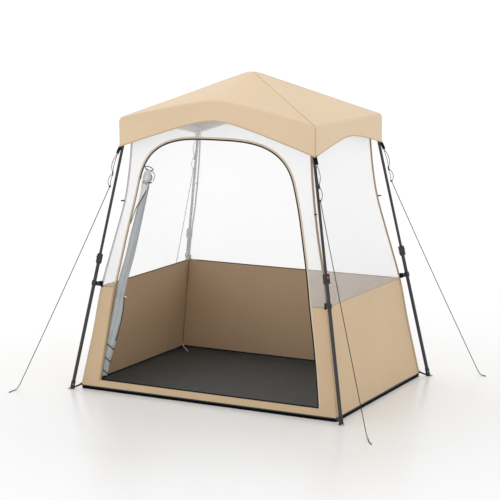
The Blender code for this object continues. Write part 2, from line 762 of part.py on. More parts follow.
def build_frame():
    place("hub", hub_mesh(), FITTING_PLASTIC)
    place("hub_cap", hub_cap_mesh(), FITTING_PLASTIC)
    rib, pin, elbow = rib_mesh(), pin_mesh(), elbow_mesh()
    upper_tube = tube_mesh(UPPER_TUBE_RADIUS, UPPER_TUBE_BORE, UPPER_TUBE_FOOT, UPPER_TUBE_HEAD)
    lower_tube = tube_mesh(LOWER_TUBE_RADIUS, LOWER_TUBE_BORE, LOWER_TUBE_FOOT, LOWER_TUBE_HEAD)
    leg_parts = (
        ("upper_leg", upper_tube, FRAME_STEEL),
        ("lower_leg", lower_tube, FRAME_STEEL),
        ("lock_collar", lock_collar_mesh(), FITTING_PLASTIC),
        ("lock_button", lock_button_mesh(), BUTTON_RED),
        ("leg_clip", leg_clip_mesh(), FITTING_PLASTIC),
        ("foot", foot_mesh(), FITTING_PLASTIC),
    )
    for corner, angle in CORNERS.items():
        turn = Matrix.Rotation(angle, 4, "Z")
        hub_pivot = turn @ Matrix.Translation((HUB_PIVOT_RADIUS, 0, HUB_PIVOT_HEIGHT))
        rib_pivot = empty(f"rib_pivot_{corner}", hub_pivot @ Matrix.Rotation(RIB_SLOPE, 4, "Y"))
        place(f"rib_{corner}", rib, FRAME_STEEL, rib_pivot)
        place(f"hub_pin_{corner}", pin, PIN_STEEL).matrix_world = hub_pivot
        leg_head = turn @ Matrix.Translation((LEG_HEAD_RADIUS, 0, LEG_HEAD_HEIGHT))
        leg_axis = leg_head @ Matrix.Rotation(-LEG_TILT, 4, "Y")
        elbow_pivot = empty(f"elbow_pivot_{corner}", leg_axis @ Matrix.Translation((-ELBOW_OFFSET, 0, 0)))
        place(f"elbow_pin_{corner}", pin, PIN_STEEL, elbow_pivot)
        leg = empty(f"leg_axis_{corner}", leg_axis, elbow_pivot)
        place(f"elbow_{corner}", elbow, FITTING_PLASTIC, leg)
        for name, mesh, material in leg_parts:
            place(f"{name}_{corner}", mesh, material, leg)


def build_guy_lines():
    slider = guy_slider_mesh()
    for corner in CORNERS:
        place(f"guy_line_{corner}", guy_curve(corner), CORD)
        place(f"guy_slider_{corner}", slider, FITTING_PLASTIC).matrix_world = guy_slider_matrix(corner)


build_soft_parts()
build_frame()
build_guy_lines()
bpy.context.view_layer.update()
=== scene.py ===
import math

import bpy
import numpy as np
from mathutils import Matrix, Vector, noise


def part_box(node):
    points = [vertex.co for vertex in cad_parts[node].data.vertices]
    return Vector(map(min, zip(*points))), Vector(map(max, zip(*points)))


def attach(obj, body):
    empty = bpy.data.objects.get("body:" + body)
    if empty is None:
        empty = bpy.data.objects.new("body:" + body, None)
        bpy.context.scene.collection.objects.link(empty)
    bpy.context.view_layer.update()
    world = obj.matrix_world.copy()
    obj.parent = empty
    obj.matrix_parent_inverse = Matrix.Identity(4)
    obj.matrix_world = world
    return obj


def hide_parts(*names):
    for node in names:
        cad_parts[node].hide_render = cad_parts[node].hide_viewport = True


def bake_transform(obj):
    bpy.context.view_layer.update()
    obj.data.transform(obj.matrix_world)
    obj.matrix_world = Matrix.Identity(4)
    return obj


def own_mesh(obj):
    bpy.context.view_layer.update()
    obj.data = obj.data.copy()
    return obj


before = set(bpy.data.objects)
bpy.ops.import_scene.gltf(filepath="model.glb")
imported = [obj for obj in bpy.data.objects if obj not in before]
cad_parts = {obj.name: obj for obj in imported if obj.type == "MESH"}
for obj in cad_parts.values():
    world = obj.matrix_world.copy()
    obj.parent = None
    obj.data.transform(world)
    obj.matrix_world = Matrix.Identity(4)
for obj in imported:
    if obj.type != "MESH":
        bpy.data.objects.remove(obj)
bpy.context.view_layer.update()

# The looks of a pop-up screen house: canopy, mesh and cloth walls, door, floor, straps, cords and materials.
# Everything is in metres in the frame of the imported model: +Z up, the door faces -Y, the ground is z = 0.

UP = Vector((0, 0, 1))
DEEP = Vector((0, 1, 0))
# The camera's level direction to the right. The rolled door is flattened and its loops hang along it
IN_VIEW = Vector((0.883, 0.469, 0))
CORNER_SIGNS = {"front_left": (-1, -1), "front_right": (1, -1), "back_right": (1, 1), "back_left": (-1, 1)}

# Canopy. Its size comes from the frame, and these are the shapes of its edges
FRONT_FOLD_RISE = 0.135
FRONT_HEM_RISE = 0.199
SIDE_HEM_RISE = 0.088
ARCH_TOP_RADIUS = 0.16
FOLD_SETBACK = 0.026
CANOPY_CORNER_RADIUS = 0.012
CANOPY_THICKNESS = 0.0010
ROOF_SAG = 0.007
HEM_BINDING = 0.009
HEM_THICKNESS = 0.0022
RIDGE_SEAM_WIDTH = 0.0065
RIDGE_SEAM_THICKNESS = 0.0018
BRIDGE_REACH = 0.065
VALANCE_STEPS = 9
FOLD_STEPS = 6
ROOF_STEPS = 26
OUTLINE_STEPS = 26
HEM_STEPS = 30
PEAK_SHARE = 0.955
PEAK_RINGS = (0.978, 0.988, 0.995)
PEAK_LIFT = 0.010
PEAK_SOFTNESS = 0.005
CLOTH_RIPPLE = 0.0022
VALANCE_RIPPLE = 0.0018

# Body
SHEET_THICKNESS = 0.0010
TRIM_RADIUS = 0.005
SILL_DROP = 0.008
DOOR_SIDE_LEAN = 0.115
DOOR_SIDE_CURVE = 0.045
DOOR_ARCH_START = 1.400
DOOR_ARCH_POWER = 3.2
DOOR_MIDDLE_LEAN = 0.020
DOOR_SIDE_STEPS = 26
DOOR_ARCH_STEPS = 40
ZIP_START = 1.440
WALL_TOP = 1.740
LEVEL_GAP = 0.02
FRONT_WALL_ARCH = 0.190
SIDE_WALL_ARCH = 0.060
WALL_STEPS = 28
WALL_BILLOW = 0.006
WALL_DRAW_IN = 0.004
DOOR_TAPE_WIDTH = 0.013
DOOR_TAPE_THICKNESS = 0.0036
ZIP_WIDTH = 0.010
ZIP_THICKNESS = 0.0040
EDGE_TAPE_WIDTH = 0.008
CORNER_TAPE_WIDTH = 0.024
SLIM_TAPE_WIDTH = 0.011
LINING_WIDTH = 0.016
CORNER_TAPE_THICKNESS = 0.0026
LINING_THICKNESS = 0.0014
TOP_BINDING = 0.007
TOP_BINDING_THICKNESS = 0.0030
BASE_BINDING = 0.018
INNER_BINDING = 0.008
BASE_BINDING_THICKNESS = 0.0022
SEAM_WIDTH = 0.006
SEAM_SINK = 0.0035
TRAY_INSET = 0.010
TRAY_LIFT = 0.0065
TRAY_WAVE = 0.004
TRAY_CREASE = 0.0012

# Rolled door. Shares are of its length, from the sill up
ROLL_LEAN = 0.014
# Share, radius, how much wider the flattened roll is than deep, and how far it bulges sideways
ROLL_SHAPE = (
    (0.00, 0.020, 0.012, -0.021),
    (0.05, 0.020, 0.012, -0.022),
    (0.11, 0.021, 0.015, -0.015),
    (0.15, 0.023, 0.017, -0.008),
    (0.19, 0.027, 0.017, -0.005),
    (0.24, 0.028, 0.014, 0.001),
    (0.28, 0.029, 0.009, 0.002),
    (0.33, 0.030, 0.006, -0.006),
    (0.39, 0.030, 0.003, -0.009),
    (0.52, 0.028, 0.003, 0.000),
    (0.72, 0.024, 0.003, 0.000),
    (0.93, 0.026, 0.000, 0.000),
    (1.00, 0.018, 0.000, 0.000),
)
ROLL_TIGHTNESS = 0.93
ROLL_LENGTH = 1.43
ROLL_GIRTH = 0.18
TIE_SHARES = (0.888, 0.873)
TOGGLE_SHARE = 0.34
PINCH_SHARES = (0.17, TOGGLE_SHARE, *TIE_SHARES)
PINCH_DEPTH = 0.0045
# Share and angle of the cord that crosses the roll's front, and the height where it reaches the door's edge
CORD_CROSSING = ((0.853, -0.12), (0.776, -1.08), (0.724, -1.93), (0.702, -2.40))
CORD_END = 1.14
# The two loose ends at the roll's top: over to the right and under its middle
DARK_HANG = ((-0.010, 0.000), (0.004, -0.018), (0.018, -0.036), (0.022, -0.052), (0.013, -0.076))
PALE_HANG = ((0.003, -0.003), (0.028, -0.016), (0.042, -0.034), (0.037, -0.056), (0.028, -0.076))
LOOP_RADIUS = 0.0032
LONG_CORD_RADIUS = 0.0028
TIE_BAND_WIDTH = 0.0065
TOGGLE_BAND_WIDTH = 0.005
BAND_THICKNESS = 0.0018
KNOB_RADIUS = 0.0045
TOGGLE_RADIUS = 0.0042
FLOOR_CORD_RADIUS = 0.0048
# The zip wound round the roll's foot: first and last share, turns, start angle, and how steeply it crosses
ZIP_COIL = (0.006, 0.138)
ZIP_COIL_TURNS = 2.5
ZIP_COIL_ANGLE = 0.49
ZIP_COIL_SLANT = 0.005
ZIP_COIL_RADIUS = 0.0032
DARK_EDGE_SHARES = (0.15, 0.335)
DARK_EDGE_ANGLE = 0.10
DARK_EDGE_RADIUS = 0.0034

# Cords and straps
CORD_RADIUS = 0.0026
GROUND_BEND = 0.045
CORD_SAG = 0.010
RIG_BOW = 0.012
WEBBING_WIDTH = 0.022
WEBBING_THICKNESS = 0.0018
STRAP_WIDTH = 0.033
STRAP_LIFT = 0.016
STRAP_SPREAD = 0.0075
PATCH_LENGTH = 0.010
PATCH_HEIGHT = 0.042
PATCH_THICKNESS = 0.0034
TAB_WIDTH = 0.024
TAB_LENGTH = 0.040
TOGGLE_HEIGHT = 1.29
WALL_LOOP_REACH = 0.0065
WALL_LOOP_RADIUS = 0.0014
WALL_TOGGLE_REACH = 0.012
WALL_TOGGLE_RADIUS = 0.0036
BASE_TAB_WIDTH = 0.026
BASE_TAB_THICKNESS = 0.0022
D_RING_REACH = 0.030
D_RING_HALF = (0.0085, 0.0150)
D_RING_RADIUS = 0.0020
FOOT_PIN_HEIGHT = 0.034
FOOT_PIN_HALF = 0.018
FOOT_PIN_RADIUS = 0.0020
PAD_HEIGHT = 0.0045
PAD_REACH = (0.004, 0.030)
PAD_WIDTH = 0.020
PAD_THICKNESS = 0.0050
FOOT_STRAP_WIDTH = 0.011
FOOT_STRAP_THICKNESS = 0.0026
EYE_HALF = 0.0065
EYE_RADIUS = 0.0014
STRAND_SPREAD = 0.0080
LOOP_SPREAD = 0.0115
KNOT_HALF = 0.0042

# Cloth detail
TAPE_PITCH = 0.0009
STITCH_INSET = 0.0028
STITCH_HALF_WIDTH = 0.00055
STITCH_PITCH = 0.0036
STITCH_SHARE = 0.72
SCREEN_PITCH = 0.0013
THREAD_SHARE = 0.238
# Emission in the screen's threads: painted light that brightens them
THREAD_PAINTED_GLOW = 0.11
ZIP_PITCH = 0.0015

# Camera and studio
CAMERA_PLACE = (5.314, -10.032, 2.834)
CAMERA_TURN = (90 - 9.517, 0.175, 27.963)
CAMERA_LENS = 120.77
CAMERA_SENSOR = 36.0
WHITE = (1.0, 1.0, 1.0, 1.0)
FLOOR_WHITE = (0.96, 0.96, 0.96, 1.0)
FLOOR_SIZE = 60.0
FLOOR_FADE = (1.9, 4.2)
SEEN_STRENGTH = 1.02
LIGHT_STRENGTH = 0.92
SOFTBOX_PLACE = (-2.2, 2.0, 5.5)
SOFTBOX_AIM = Vector((0, 0, 1.0))
SOFTBOX_SIZE = 5.0
SOFTBOX_POWER = 70.0


# Reading the frame


def node_points(node):
    return np.array([tuple(v.co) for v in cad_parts[node].data.vertices])


def levels_of(*nodes):
    """(height, half width, half depth) at each height where the CAD walls have back corners, upwards."""
    levels = {}
    for node in nodes:
        for x, y, z in node_points(node):
            if x > 0 and y > 0:
                levels.setdefault(round(float(z), 4), []).append((x, y))
    found = []
    for z in sorted(levels):
        places = np.array(levels[z])
        wide, deep = (float(most) for most in places.max(axis=0))
        has_corner = any(abs(x - wide) < 1e-4 and abs(y - deep) < 1e-4 for x, y in places)
        if not has_corner or z > WALL_TOP + 0.001:
            continue
        if found and z - found[-1][0] < LEVEL_GAP:
            if wide <= found[-1][1]:
                continue
            found.pop()
        found.append((z, wide, deep))
    return found


def line_through(node, gap=0.1):
    """The centres of a swept CAD solid's rings, from the lowest up."""
    points = node_points(node)
    points = points[np.argsort(points[:, 2])]
    cuts = np.where(np.diff(points[:, 2]) > gap)[0] + 1
    return [middle_of(ring) for ring in np.split(points, cuts)]


def middle_of(points):
    return Vector((points.min(axis=0) + points.max(axis=0)) / 2)


CANOPY_LOW, CANOPY_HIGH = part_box("canopy")
HALF_X, HALF_Y = CANOPY_HIGH.x, CANOPY_HIGH.y
APEX = CANOPY_HIGH.z
HEM_CORNER = CANOPY_LOW.z
corner_heights = [z for x, y, z in node_points("canopy") if x > HALF_X - 0.001 and y > HALF_Y - 0.001]
FOLD_CORNER = max(corner_heights)
WALL_LEVELS = levels_of("lower_walls", "screen_walls")
TAN_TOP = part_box("lower_walls")[1].z
WALL_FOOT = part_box("lower_walls")[0].z
TRIM_LOW, TRIM_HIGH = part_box("door_trim")
DOOR_TOP = TRIM_HIGH.z - TRIM_RADIUS
DOOR_SILL = TRIM_LOW.z - SILL_DROP
DOOR_MIDDLE = (TRIM_LOW.x + TRIM_HIGH.x) / 2
DOOR_HALF = (TRIM_HIGH.x - TRIM_LOW.x) / 2 - TRIM_RADIUS


# Mesh building


def spaced(low, high, steps):
    return [low + (high - low) * n / steps for n in range(steps + 1)]


def full_turn(count):
    """The angles of a full turn in equal steps, without its end."""
    return spaced(0, 2 * math.pi, count)[:-1]


def wavy(x, y, z):
    return noise.noise(Vector((x, y, z)))


class Piece:
    """One named mesh gathered from sheets, ribbons and tubes, each with its own material."""

    def __init__(self, name):
        self.name = name
        self.points = []
        self.faces = []
        self.uvs = []
        self.normals = []
        self.marks = []
        self.materials = []

    def add(self, shape, material):
        """shape is (points, faces, face uvs or None, point normals or None)."""
        points, faces, uvs, normals = shape
        if material not in self.materials:
            self.materials.append(material)
        base = len(self.points)
        self.points += [tuple(p) for p in points]
        self.normals += [tuple(n) for n in normals] if normals is not None else [(0, 0, 0)] * len(points)
        for n, face in enumerate(faces):
            self.faces.append([base + v for v in face])
            self.uvs.append(uvs[n] if uvs is not None else box_uv([points[v] for v in face]))
            self.marks.append(self.materials.index(material))

    def cord(self, path, material, radius, count=10, **more):
        self.add(sweep(path, round_section(radius, count), **more), material)

    def strap(self, path, material, width, thickness, across, **more):
        self.add(sweep(path, strap_section(width, thickness), across, **more), material)

    def build(self, body, replaces=(), sharp=40):
        mesh = bpy.data.meshes.new(self.name)
        mesh.from_pydata(self.points, [], self.faces)
        for material in self.materials:
            mesh.materials.append(material)
        mesh.polygons.foreach_set("material_index", self.marks)
        layer = mesh.uv_layers.new(name="cloth")
        flat = [value for face in self.uvs for uv in face for value in uv]
        layer.data.foreach_set("uv", flat)
        mesh.shade_smooth()
        if any(n != (0, 0, 0) for n in self.normals):
            mesh.normals_split_custom_set([self.normals[loop.vertex_index] for loop in mesh.loops])
        else:
            mesh.set_sharp_from_angle(angle=math.radians(sharp))
        mesh.validate()
        thing = bpy.data.objects.new(self.name, mesh)
        bpy.context.scene.collection.objects.link(thing)
        if replaces:
            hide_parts(*replaces)
        if body:
            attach(thing, body)
        return thing


def box_uv(corners):
    """Flat cloth coordinates in metres for one face, seen along the axis that it faces most."""
    a, b, c = (Vector(p) for p in corners[:3])
    normal = (b - a).cross(c - a)
    size = [abs(v) for v in normal]
    if size[2] > 0.9 * max(size):
        return [(p[0], p[1]) for p in corners]
    if size[0] > size[1]:
        return [(p[1], p[2]) for p in corners]
    return [(p[0], p[2]) for p in corners]


def grid(rows, closed=False):
    """A sheet of quads through rows of points. Rows run left to right and upwards when seen from outside."""
    width = len(rows[0])
    points = [p for row in rows for p in row]
    faces = []
    for r in range(len(rows) - 1):
        for c in range(width if closed else width - 1):
            d = (c + 1) % width
            faces.append([r * width + c, r * width + d, (r + 1) * width + d, (r + 1) * width + c])
    return points, faces, None, None


def vertex_normals(points, faces):
    places = np.array([tuple(p) for p in points])
    normals = np.zeros_like(places)
    for face in faces:
        a, b, c = places[face[0]], places[face[1]], places[face[2]]
        n = np.cross(b - a, c - a)
        if len(face) == 4:
            n = n + np.cross(c - a, places[face[3]] - a)
        for v in face:
            normals[v] += n
    lengths = np.linalg.norm(normals, axis=1)
    lengths[lengths < 1e-12] = 1.0
    return normals / lengths[:, None]


def rim_edges(faces):
    """The edges that only one face uses, in that face's direction."""
    seen = {}
    for face in faces:
        for a, b in zip(face, face[1:] + face[:1]):
            seen[(a, b)] = True
    return [(a, b) for a, b in seen if (b, a) not in seen]


def used_only(points, faces, normals):
    """The same faces on just the points they use."""
    order = sorted({v for face in faces for v in face})
    new = {v: n for n, v in enumerate(order)}
    return [points[v] for v in order], [[new[v] for v in face] for face in faces], [normals[v] for v in order]


def add_shell(piece, points, faces, normals, thickness, outside, inside, keep_normals=False):
    """A closed thin sheet: the faces as given outside, the same faces turned round inside, and a rim."""
    inner = [Vector(p) - Vector(n) * thickness for p, n in zip(points, normals)]
    turned = [face[::-1] for face in faces]
    back = [(-n[0], -n[1], -n[2]) for n in normals] if keep_normals else None
    piece.add((points, faces, None, list(normals) if keep_normals else None), outside)
    piece.add((inner, turned, None, back), inside)
    count = len(points)
    rim = [[b, a, a + count, b + count] for a, b in rim_edges(faces)]
    both = list(points) + inner
    rim_points, rim_faces, _ = used_only(both, rim, [None] * len(both))
    piece.add((rim_points, rim_faces, None, None), outside)


def round_section(radius, count=10):
    return [(radius * math.cos(a), radius * math.sin(a)) for a in full_turn(count)]


def strap_section(width, thickness):
    """A flat tape's outline with eased edges, its top side first."""
    w, t = width / 2, thickness / 2
    e = min(0.35 * thickness, 0.1 * width)
    top = [(-w + e, t), (0, t * 1.08), (w - e, t), (w, 0)]
    return top + [(-x, -y) for x, y in top]


def smooth_line(points, steps):
    """A Catmull-Rom curve through the points, with steps pieces between neighbours."""
    points = [Vector(p) for p in points]
    count = len(points)
    out = []
    for n in range(count - 1):
        b, c = points[n], points[n + 1]
        a = points[n - 1] if n > 0 else b * 2 - c
        d = points[n + 2] if n + 2 < count else c * 2 - b
        for step in range(steps):
            t = step / steps
            curve = (2 * a - 5 * b + 4 * c - d) * t**2 + (3 * b - a - 3 * c + d) * t**3
            out.append(0.5 * (2 * b + (c - a) * t + curve))
    out.append(points[-1])
    return out


def ring_loop(centre, x, y, rx, ry, count=20):
    """An oval through count places, with its half widths along two directions."""
    return [centre + x * (rx * math.cos(a)) + y * (ry * math.sin(a)) for a in full_turn(count)]


def sweep(path, section, across=None, scales=None, closed=False):
    """A section carried along a path. Its first axis points along across, a Vector or a list of them."""
    path = [Vector(p) for p in path]
    count, width = len(path), len(section)
    tangents = []
    for n in range(count):
        before = path[(n - 1) % count] if closed or n > 0 else path[n]
        after = path[(n + 1) % count] if closed or n < count - 1 else path[n]
        tangents.append((after - before).normalized())
    points = []
    x = None
    for n, t in enumerate(tangents):
        if isinstance(across, Vector):
            x = across
        elif across is not None:
            x = across[n]
        elif x is None:
            x = t.orthogonal()
        x = (x - t * x.dot(t)).normalized()
        y = t.cross(x)
        s = scales[n] if scales is not None else 1.0
        points += [path[n] + x * (sx * s) + y * (sy * s) for sx, sy in section]
    lengths = [0.0]
    for a, b in zip(path, path[1:]):
        lengths.append(lengths[-1] + (b - a).length)
    if closed:
        lengths.append(lengths[-1] + (path[0] - path[-1]).length)
    rounds = [section[0][0]]
    for n in range(width):
        (ax, ay), (bx, by) = section[n], section[(n + 1) % width]
        rounds.append(rounds[-1] + math.hypot(bx - ax, by - ay))
    faces, uvs = [], []
    for n in range(count if closed else count - 1):
        m = (n + 1) % count
        for k in range(width):
            j = (k + 1) % width
            faces.append([n * width + k, n * width + j, m * width + j, m * width + k])
            u0, u1, v0, v1 = lengths[n], lengths[n + 1], rounds[k], rounds[k + 1]
            uvs.append([(u0, v0), (u0, v1), (u1, v1), (u1, v0)])
    if not closed:
        for ring in (list(range(width))[::-1], [(count - 1) * width + k for k in range(width)]):
            faces.append(ring)
            uvs.append([(0.0, 0.0)] * width)
    return points, faces, uvs, None


# Materials


class Nodes:
    """Builds a material's node tree. put() makes a node and sets or links its inputs."""

    def __init__(self, name):
        self.material = bpy.data.materials.new(name)
        self.material.use_nodes = True
        self.tree = self.material.node_tree
        self.tree.nodes.clear()

    def put(self, kind, inputs=(), **settings):
        made = self.tree.nodes.new(kind)
        for key, value in settings.items():
            setattr(made, key, value)
        for key, value in dict(inputs).items():
            socket = made.inputs[key]
            if isinstance(value, bpy.types.NodeSocket):
                self.tree.links.new(value, socket)
            else:
                socket.default_value = value
        return made

    def math(self, operation, a, b=0.0):
        return self.put("ShaderNodeMath", {0: a, 1: b}, operation=operation).outputs[0]

    def span(self, value, low, high, to_low=0.0, to_high=1.0):
        inputs = {0: value, 1: low, 2: high, 3: to_low, 4: to_high}
        return self.put("ShaderNodeMapRange", inputs).outputs[0]

    def mix(self, share, a, b):
        made = self.put("ShaderNodeMix", {0: share, 6: a, 7: b}, data_type="RGBA")
        return made.outputs[2]

    def noise(self, vector, scale, detail=2.0, roughness=0.5, distortion=0.0):
        inputs = {"Vector": vector, "Scale": scale, "Detail": detail, "Roughness": roughness}
        return self.put("ShaderNodeTexNoise", {**inputs, "Distortion": distortion}).outputs[0]

    def bump(self, height, distance, strength=1.0, after=None):
        inputs = {"Height": height, "Distance": distance, "Strength": strength}
        if after is not None:
            inputs["Normal"] = after
        return self.put("ShaderNodeBump", inputs).outputs[0]

    def cloth_axes(self):
        """The cloth coordinates along and across, in metres, and the vector of both."""
        vector = self.put("ShaderNodeUVMap", uv_map="cloth").outputs[0]
        parts = self.put("ShaderNodeSeparateXYZ", {0: vector})
        return parts.outputs[0], parts.outputs[1], vector

    def place(self):
        return self.put("ShaderNodeTexCoord").outputs["Object"]

    def stretched(self, vector, factors):
        return self.put("ShaderNodeVectorMath", {0: vector, 1: factors}, operation="MULTIPLY").outputs[0]

    def ridges(self, value):
        """Rounded ridges, one for each half turn of the value."""
        return self.math("ABSOLUTE", self.math("SINE", value))

    def toned(self, color, value):
        return self.put("ShaderNodeHueSaturation", {"Color": color, "Value": value}).outputs[0]

    def pointiness(self):
        return self.put("ShaderNodeNewGeometry").outputs["Pointiness"]

    def finish(self, shader):
        self.tree.links.new(shader, self.put("ShaderNodeOutputMaterial").inputs[0])
        return self.material

    def surface(self, inputs):
        return self.finish(self.put("ShaderNodeBsdfPrincipled", inputs).outputs[0])


def srgb(red, green, blue):
    """Linear colour of an 8-bit screen colour."""
    out = []
    for value in (red, green, blue):
        v = value / 255
        out.append(v / 12.92 if v <= 0.04045 else ((v + 0.055) / 1.055) ** 2.4)
    return (*out, 1.0)


def scaled(color, factor):
    return (*(min(1.0, c * factor) for c in color[:3]), 1.0)


def weave_height(n, u, v, pitch):
    """Plain weave: threads pass over and under each other, 0 in the gaps and 1 on top."""
    turn = math.pi / pitch
    warp, weft = (n.ridges(n.math("MULTIPLY", axis, turn)) for axis in (u, v))
    along, across = (n.math("SINE", n.math("MULTIPLY", axis, turn)) for axis in (u, v))
    cross = n.math("MULTIPLY", along, across)
    over = n.math("GREATER_THAN", cross, 0.0)
    swap = n.math("SUBTRACT", 1.0, over)
    return n.math("ADD", n.math("MULTIPLY", warp, over), n.math("MULTIPLY", weft, swap))


def cloth_material(name, color, pitch=0.0007, roughness=0.75, wrinkle=0.0015, sheen=0.15, soil=0.0):
    """Woven polyester: weave with painted shade in its gaps, fine and broad colour variation, soft creases
    and soil near the ground.
    """
    n = Nodes(name)
    u, v, uv = n.cloth_axes()
    place = n.place()
    weave = weave_height(n, u, v, pitch)
    threads = n.noise(n.stretched(uv, (260.0, 22.0, 1.0)), 1.0)
    broad = n.noise(place, 2.3, 3.0)
    tone = n.math("ADD", n.span(threads, 0.3, 0.7, -0.018, 0.018), n.span(broad, 0.3, 0.7, -0.022, 0.022))
    # Painted shade in the weave's gaps, with lighter thread tops
    tone = n.math("ADD", tone, n.span(weave, 0.0, 1.0, -0.035, 0.02))
    shade = n.toned(color, n.math("ADD", tone, 1.0))
    if soil:
        height = n.put("ShaderNodeSeparateXYZ", {0: place}).outputs[2]
        spots = n.span(n.noise(place, 14.0, 4.0), 0.35, 0.7)
        dirt = n.math("MULTIPLY", n.span(height, 0.02, 0.14, soil, 0.0), spots)
        shade = n.mix(dirt, shade, scaled(color, 0.55))
    normal = n.bump(n.noise(place, 3.5, 3.0, 0.55, 0.6), wrinkle * 6, 0.35)
    normal = n.bump(n.noise(place, 22.0, 3.0, 0.6), wrinkle, 0.25, normal)
    inputs = {
        "Base Color": shade,
        "Roughness": n.span(broad, 0.3, 0.7, roughness - 0.05, roughness + 0.05),
        "Normal": n.bump(weave, pitch * 0.22, 0.55, normal),
        "Specular IOR Level": 0.28,
        "Sheen Weight": sheen,
        "Sheen Roughness": 0.5,
    }
    return n.surface(inputs)


def tape_material(name, color, width=0.0, stitch_color=None, shine=0.3, sheen=0.12):
    """Ribbed woven tape, with painted shade in the gaps of its weave and between its ribs, and a row of
    stitches along both edges if it has a stitch colour.
    """
    n = Nodes(name)
    u, v, _ = n.cloth_axes()
    place = n.place()
    weave = weave_height(n, u, v, TAPE_PITCH)
    ribs = n.ridges(n.math("MULTIPLY", v, math.pi / (TAPE_PITCH * 2.2)))
    # Painted shade in the gaps of the weave and between the ribs
    tone = n.math("ADD", n.span(weave, 0.0, 1.0, 0.94, 1.02), n.span(ribs, 0.0, 1.0, -0.04, 0.03))
    tone = n.math("ADD", tone, n.span(n.noise(place, 9.0, 3.0), 0.3, 0.7, -0.04, 0.04))
    base = n.toned(color, tone)
    height = n.math("ADD", n.math("MULTIPLY", weave, 0.5), n.math("MULTIPLY", ribs, 0.5))
    if stitch_color is not None:
        off = n.math("ABSOLUTE", n.math("SUBTRACT", n.math("ABSOLUTE", v), width / 2 - STITCH_INSET))
        line = n.math("LESS_THAN", off, STITCH_HALF_WIDTH)
        dash = n.math("LESS_THAN", n.math("FRACT", n.math("DIVIDE", u, STITCH_PITCH)), STITCH_SHARE)
        stitch = n.math("MULTIPLY", line, dash)
        base = n.mix(stitch, base, stitch_color)
        pucker = n.span(off, 0.0, 0.0016, 0.55, 1.0)
        height = n.math("ADD", n.math("MULTIPLY", height, pucker), stitch)
    inputs = {
        "Base Color": base,
        "Roughness": n.span(n.noise(place, 40.0), 0.3, 0.7, 0.68, 0.86),
        "Normal": n.bump(height, 0.00035, 0.7),
        "Specular IOR Level": shine,
        "Sheen Weight": sheen,
    }
    return n.surface(inputs)


def screen_material(name, color):
    """Insect screen: open square mesh of round white threads that scatter light and carry a faint painted
    glow, clear between them.
    """
    n = Nodes(name)
    u, v, _ = n.cloth_axes()
    rows = []
    for axis in (u, v):
        share = n.math("FRACT", n.math("DIVIDE", axis, SCREEN_PITCH))
        rows.append(n.math("ABSOLUTE", n.math("SUBTRACT", share, 0.5)))
    solid = n.math("LESS_THAN", n.math("MINIMUM", *rows), THREAD_SHARE / 2)
    crown = n.span(n.math("MINIMUM", *rows), 0.0, THREAD_SHARE / 2, 1.0, 0.0)
    normal = n.bump(crown, SCREEN_PITCH * THREAD_SHARE * 0.4, 0.4)
    base = n.toned(color, n.span(n.noise(n.place(), 1.6, 2.0), 0.3, 0.7, 0.97, 1.02))
    front = n.put("ShaderNodeBsdfPrincipled", {"Base Color": base, "Roughness": 0.55, "Normal": normal})
    through = n.put("ShaderNodeBsdfTranslucent", {"Color": base})
    thread_shader = n.put("ShaderNodeMixShader", {0: 0.5, 1: front.outputs[0], 2: through.outputs[0]})
    # A faint emission on the threads: painted light, though they are no lamp
    painted_glow = n.put("ShaderNodeEmission", {"Color": color, "Strength": THREAD_PAINTED_GLOW})
    lit = n.put("ShaderNodeAddShader", {0: thread_shader.outputs[0], 1: painted_glow.outputs[0]})
    clear = n.put("ShaderNodeBsdfTransparent")
    out = n.put("ShaderNodeMixShader", {0: solid, 1: clear.outputs[0], 2: lit.outputs[0]})
    return n.finish(out.outputs[0])


def plastic_material(name, color, roughness=0.5):
    """Moulded plastic: fine spark-eroded grain, mould flow marks and worn, shinier high spots."""
    n = Nodes(name)
    place = n.place()
    texture = n.noise(place, 1500.0, 2.0)
    flow = n.noise(place, 30.0, 3.0)
    edge = n.span(n.pointiness(), 0.52, 0.60)
    base = n.mix(n.math("MULTIPLY", edge, 0.45), color, scaled(color, 2.4))
    base = n.toned(base, n.span(flow, 0.3, 0.7, 0.9, 1.1))
    rough = n.span(flow, 0.3, 0.7, roughness - 0.06, roughness + 0.08)
    rough = n.math("SUBTRACT", rough, n.math("MULTIPLY", edge, 0.12))
    inputs = {"Base Color": base, "Roughness": rough, "Normal": n.bump(texture, 0.00008, 0.5)}
    return n.surface(inputs)


def painted_steel_material(name, color):
    """Powder-coated steel tube: fine orange peel, faint lengthwise scuffs, slightly brighter rubbed edges."""
    n = Nodes(name)
    place = n.place()
    peel = n.noise(place, 420.0, 2.0)
    scuffs = n.noise(n.stretched(place, (60.0, 60.0, 2.5)), 3.0, 4.0, 0.65)
    marks = n.span(scuffs, 0.60, 0.72)
    edge = n.span(n.pointiness(), 0.53, 0.62)
    worn = n.math("MULTIPLY", n.math("MAXIMUM", n.math("MULTIPLY", marks, 0.35), edge), 0.5)
    inputs = {
        "Base Color": n.mix(worn, color, scaled(color, 3.0)),
        "Metallic": 0.1,
        "Roughness": n.span(n.noise(place, 25.0, 3.0), 0.3, 0.7, 0.36, 0.5),
        "Normal": n.bump(peel, 0.0001, 0.35),
        "Specular IOR Level": 0.35,
    }
    return n.surface(inputs)


def bare_metal_material(name, color):
    """Plated steel: fine turning lines and dull spots."""
    n = Nodes(name)
    place = n.place()
    turning = n.noise(n.stretched(place, (1.0, 1.0, 14.0)), 220.0)
    dull = n.noise(place, 60.0, 3.0)
    inputs = {
        "Base Color": n.toned(color, n.span(dull, 0.3, 0.7, 0.88, 1.05)),
        "Metallic": 1.0,
        "Roughness": n.span(dull, 0.3, 0.7, 0.20, 0.42),
        "Normal": n.bump(turning, 0.00006, 0.35),
    }
    return n.surface(inputs)


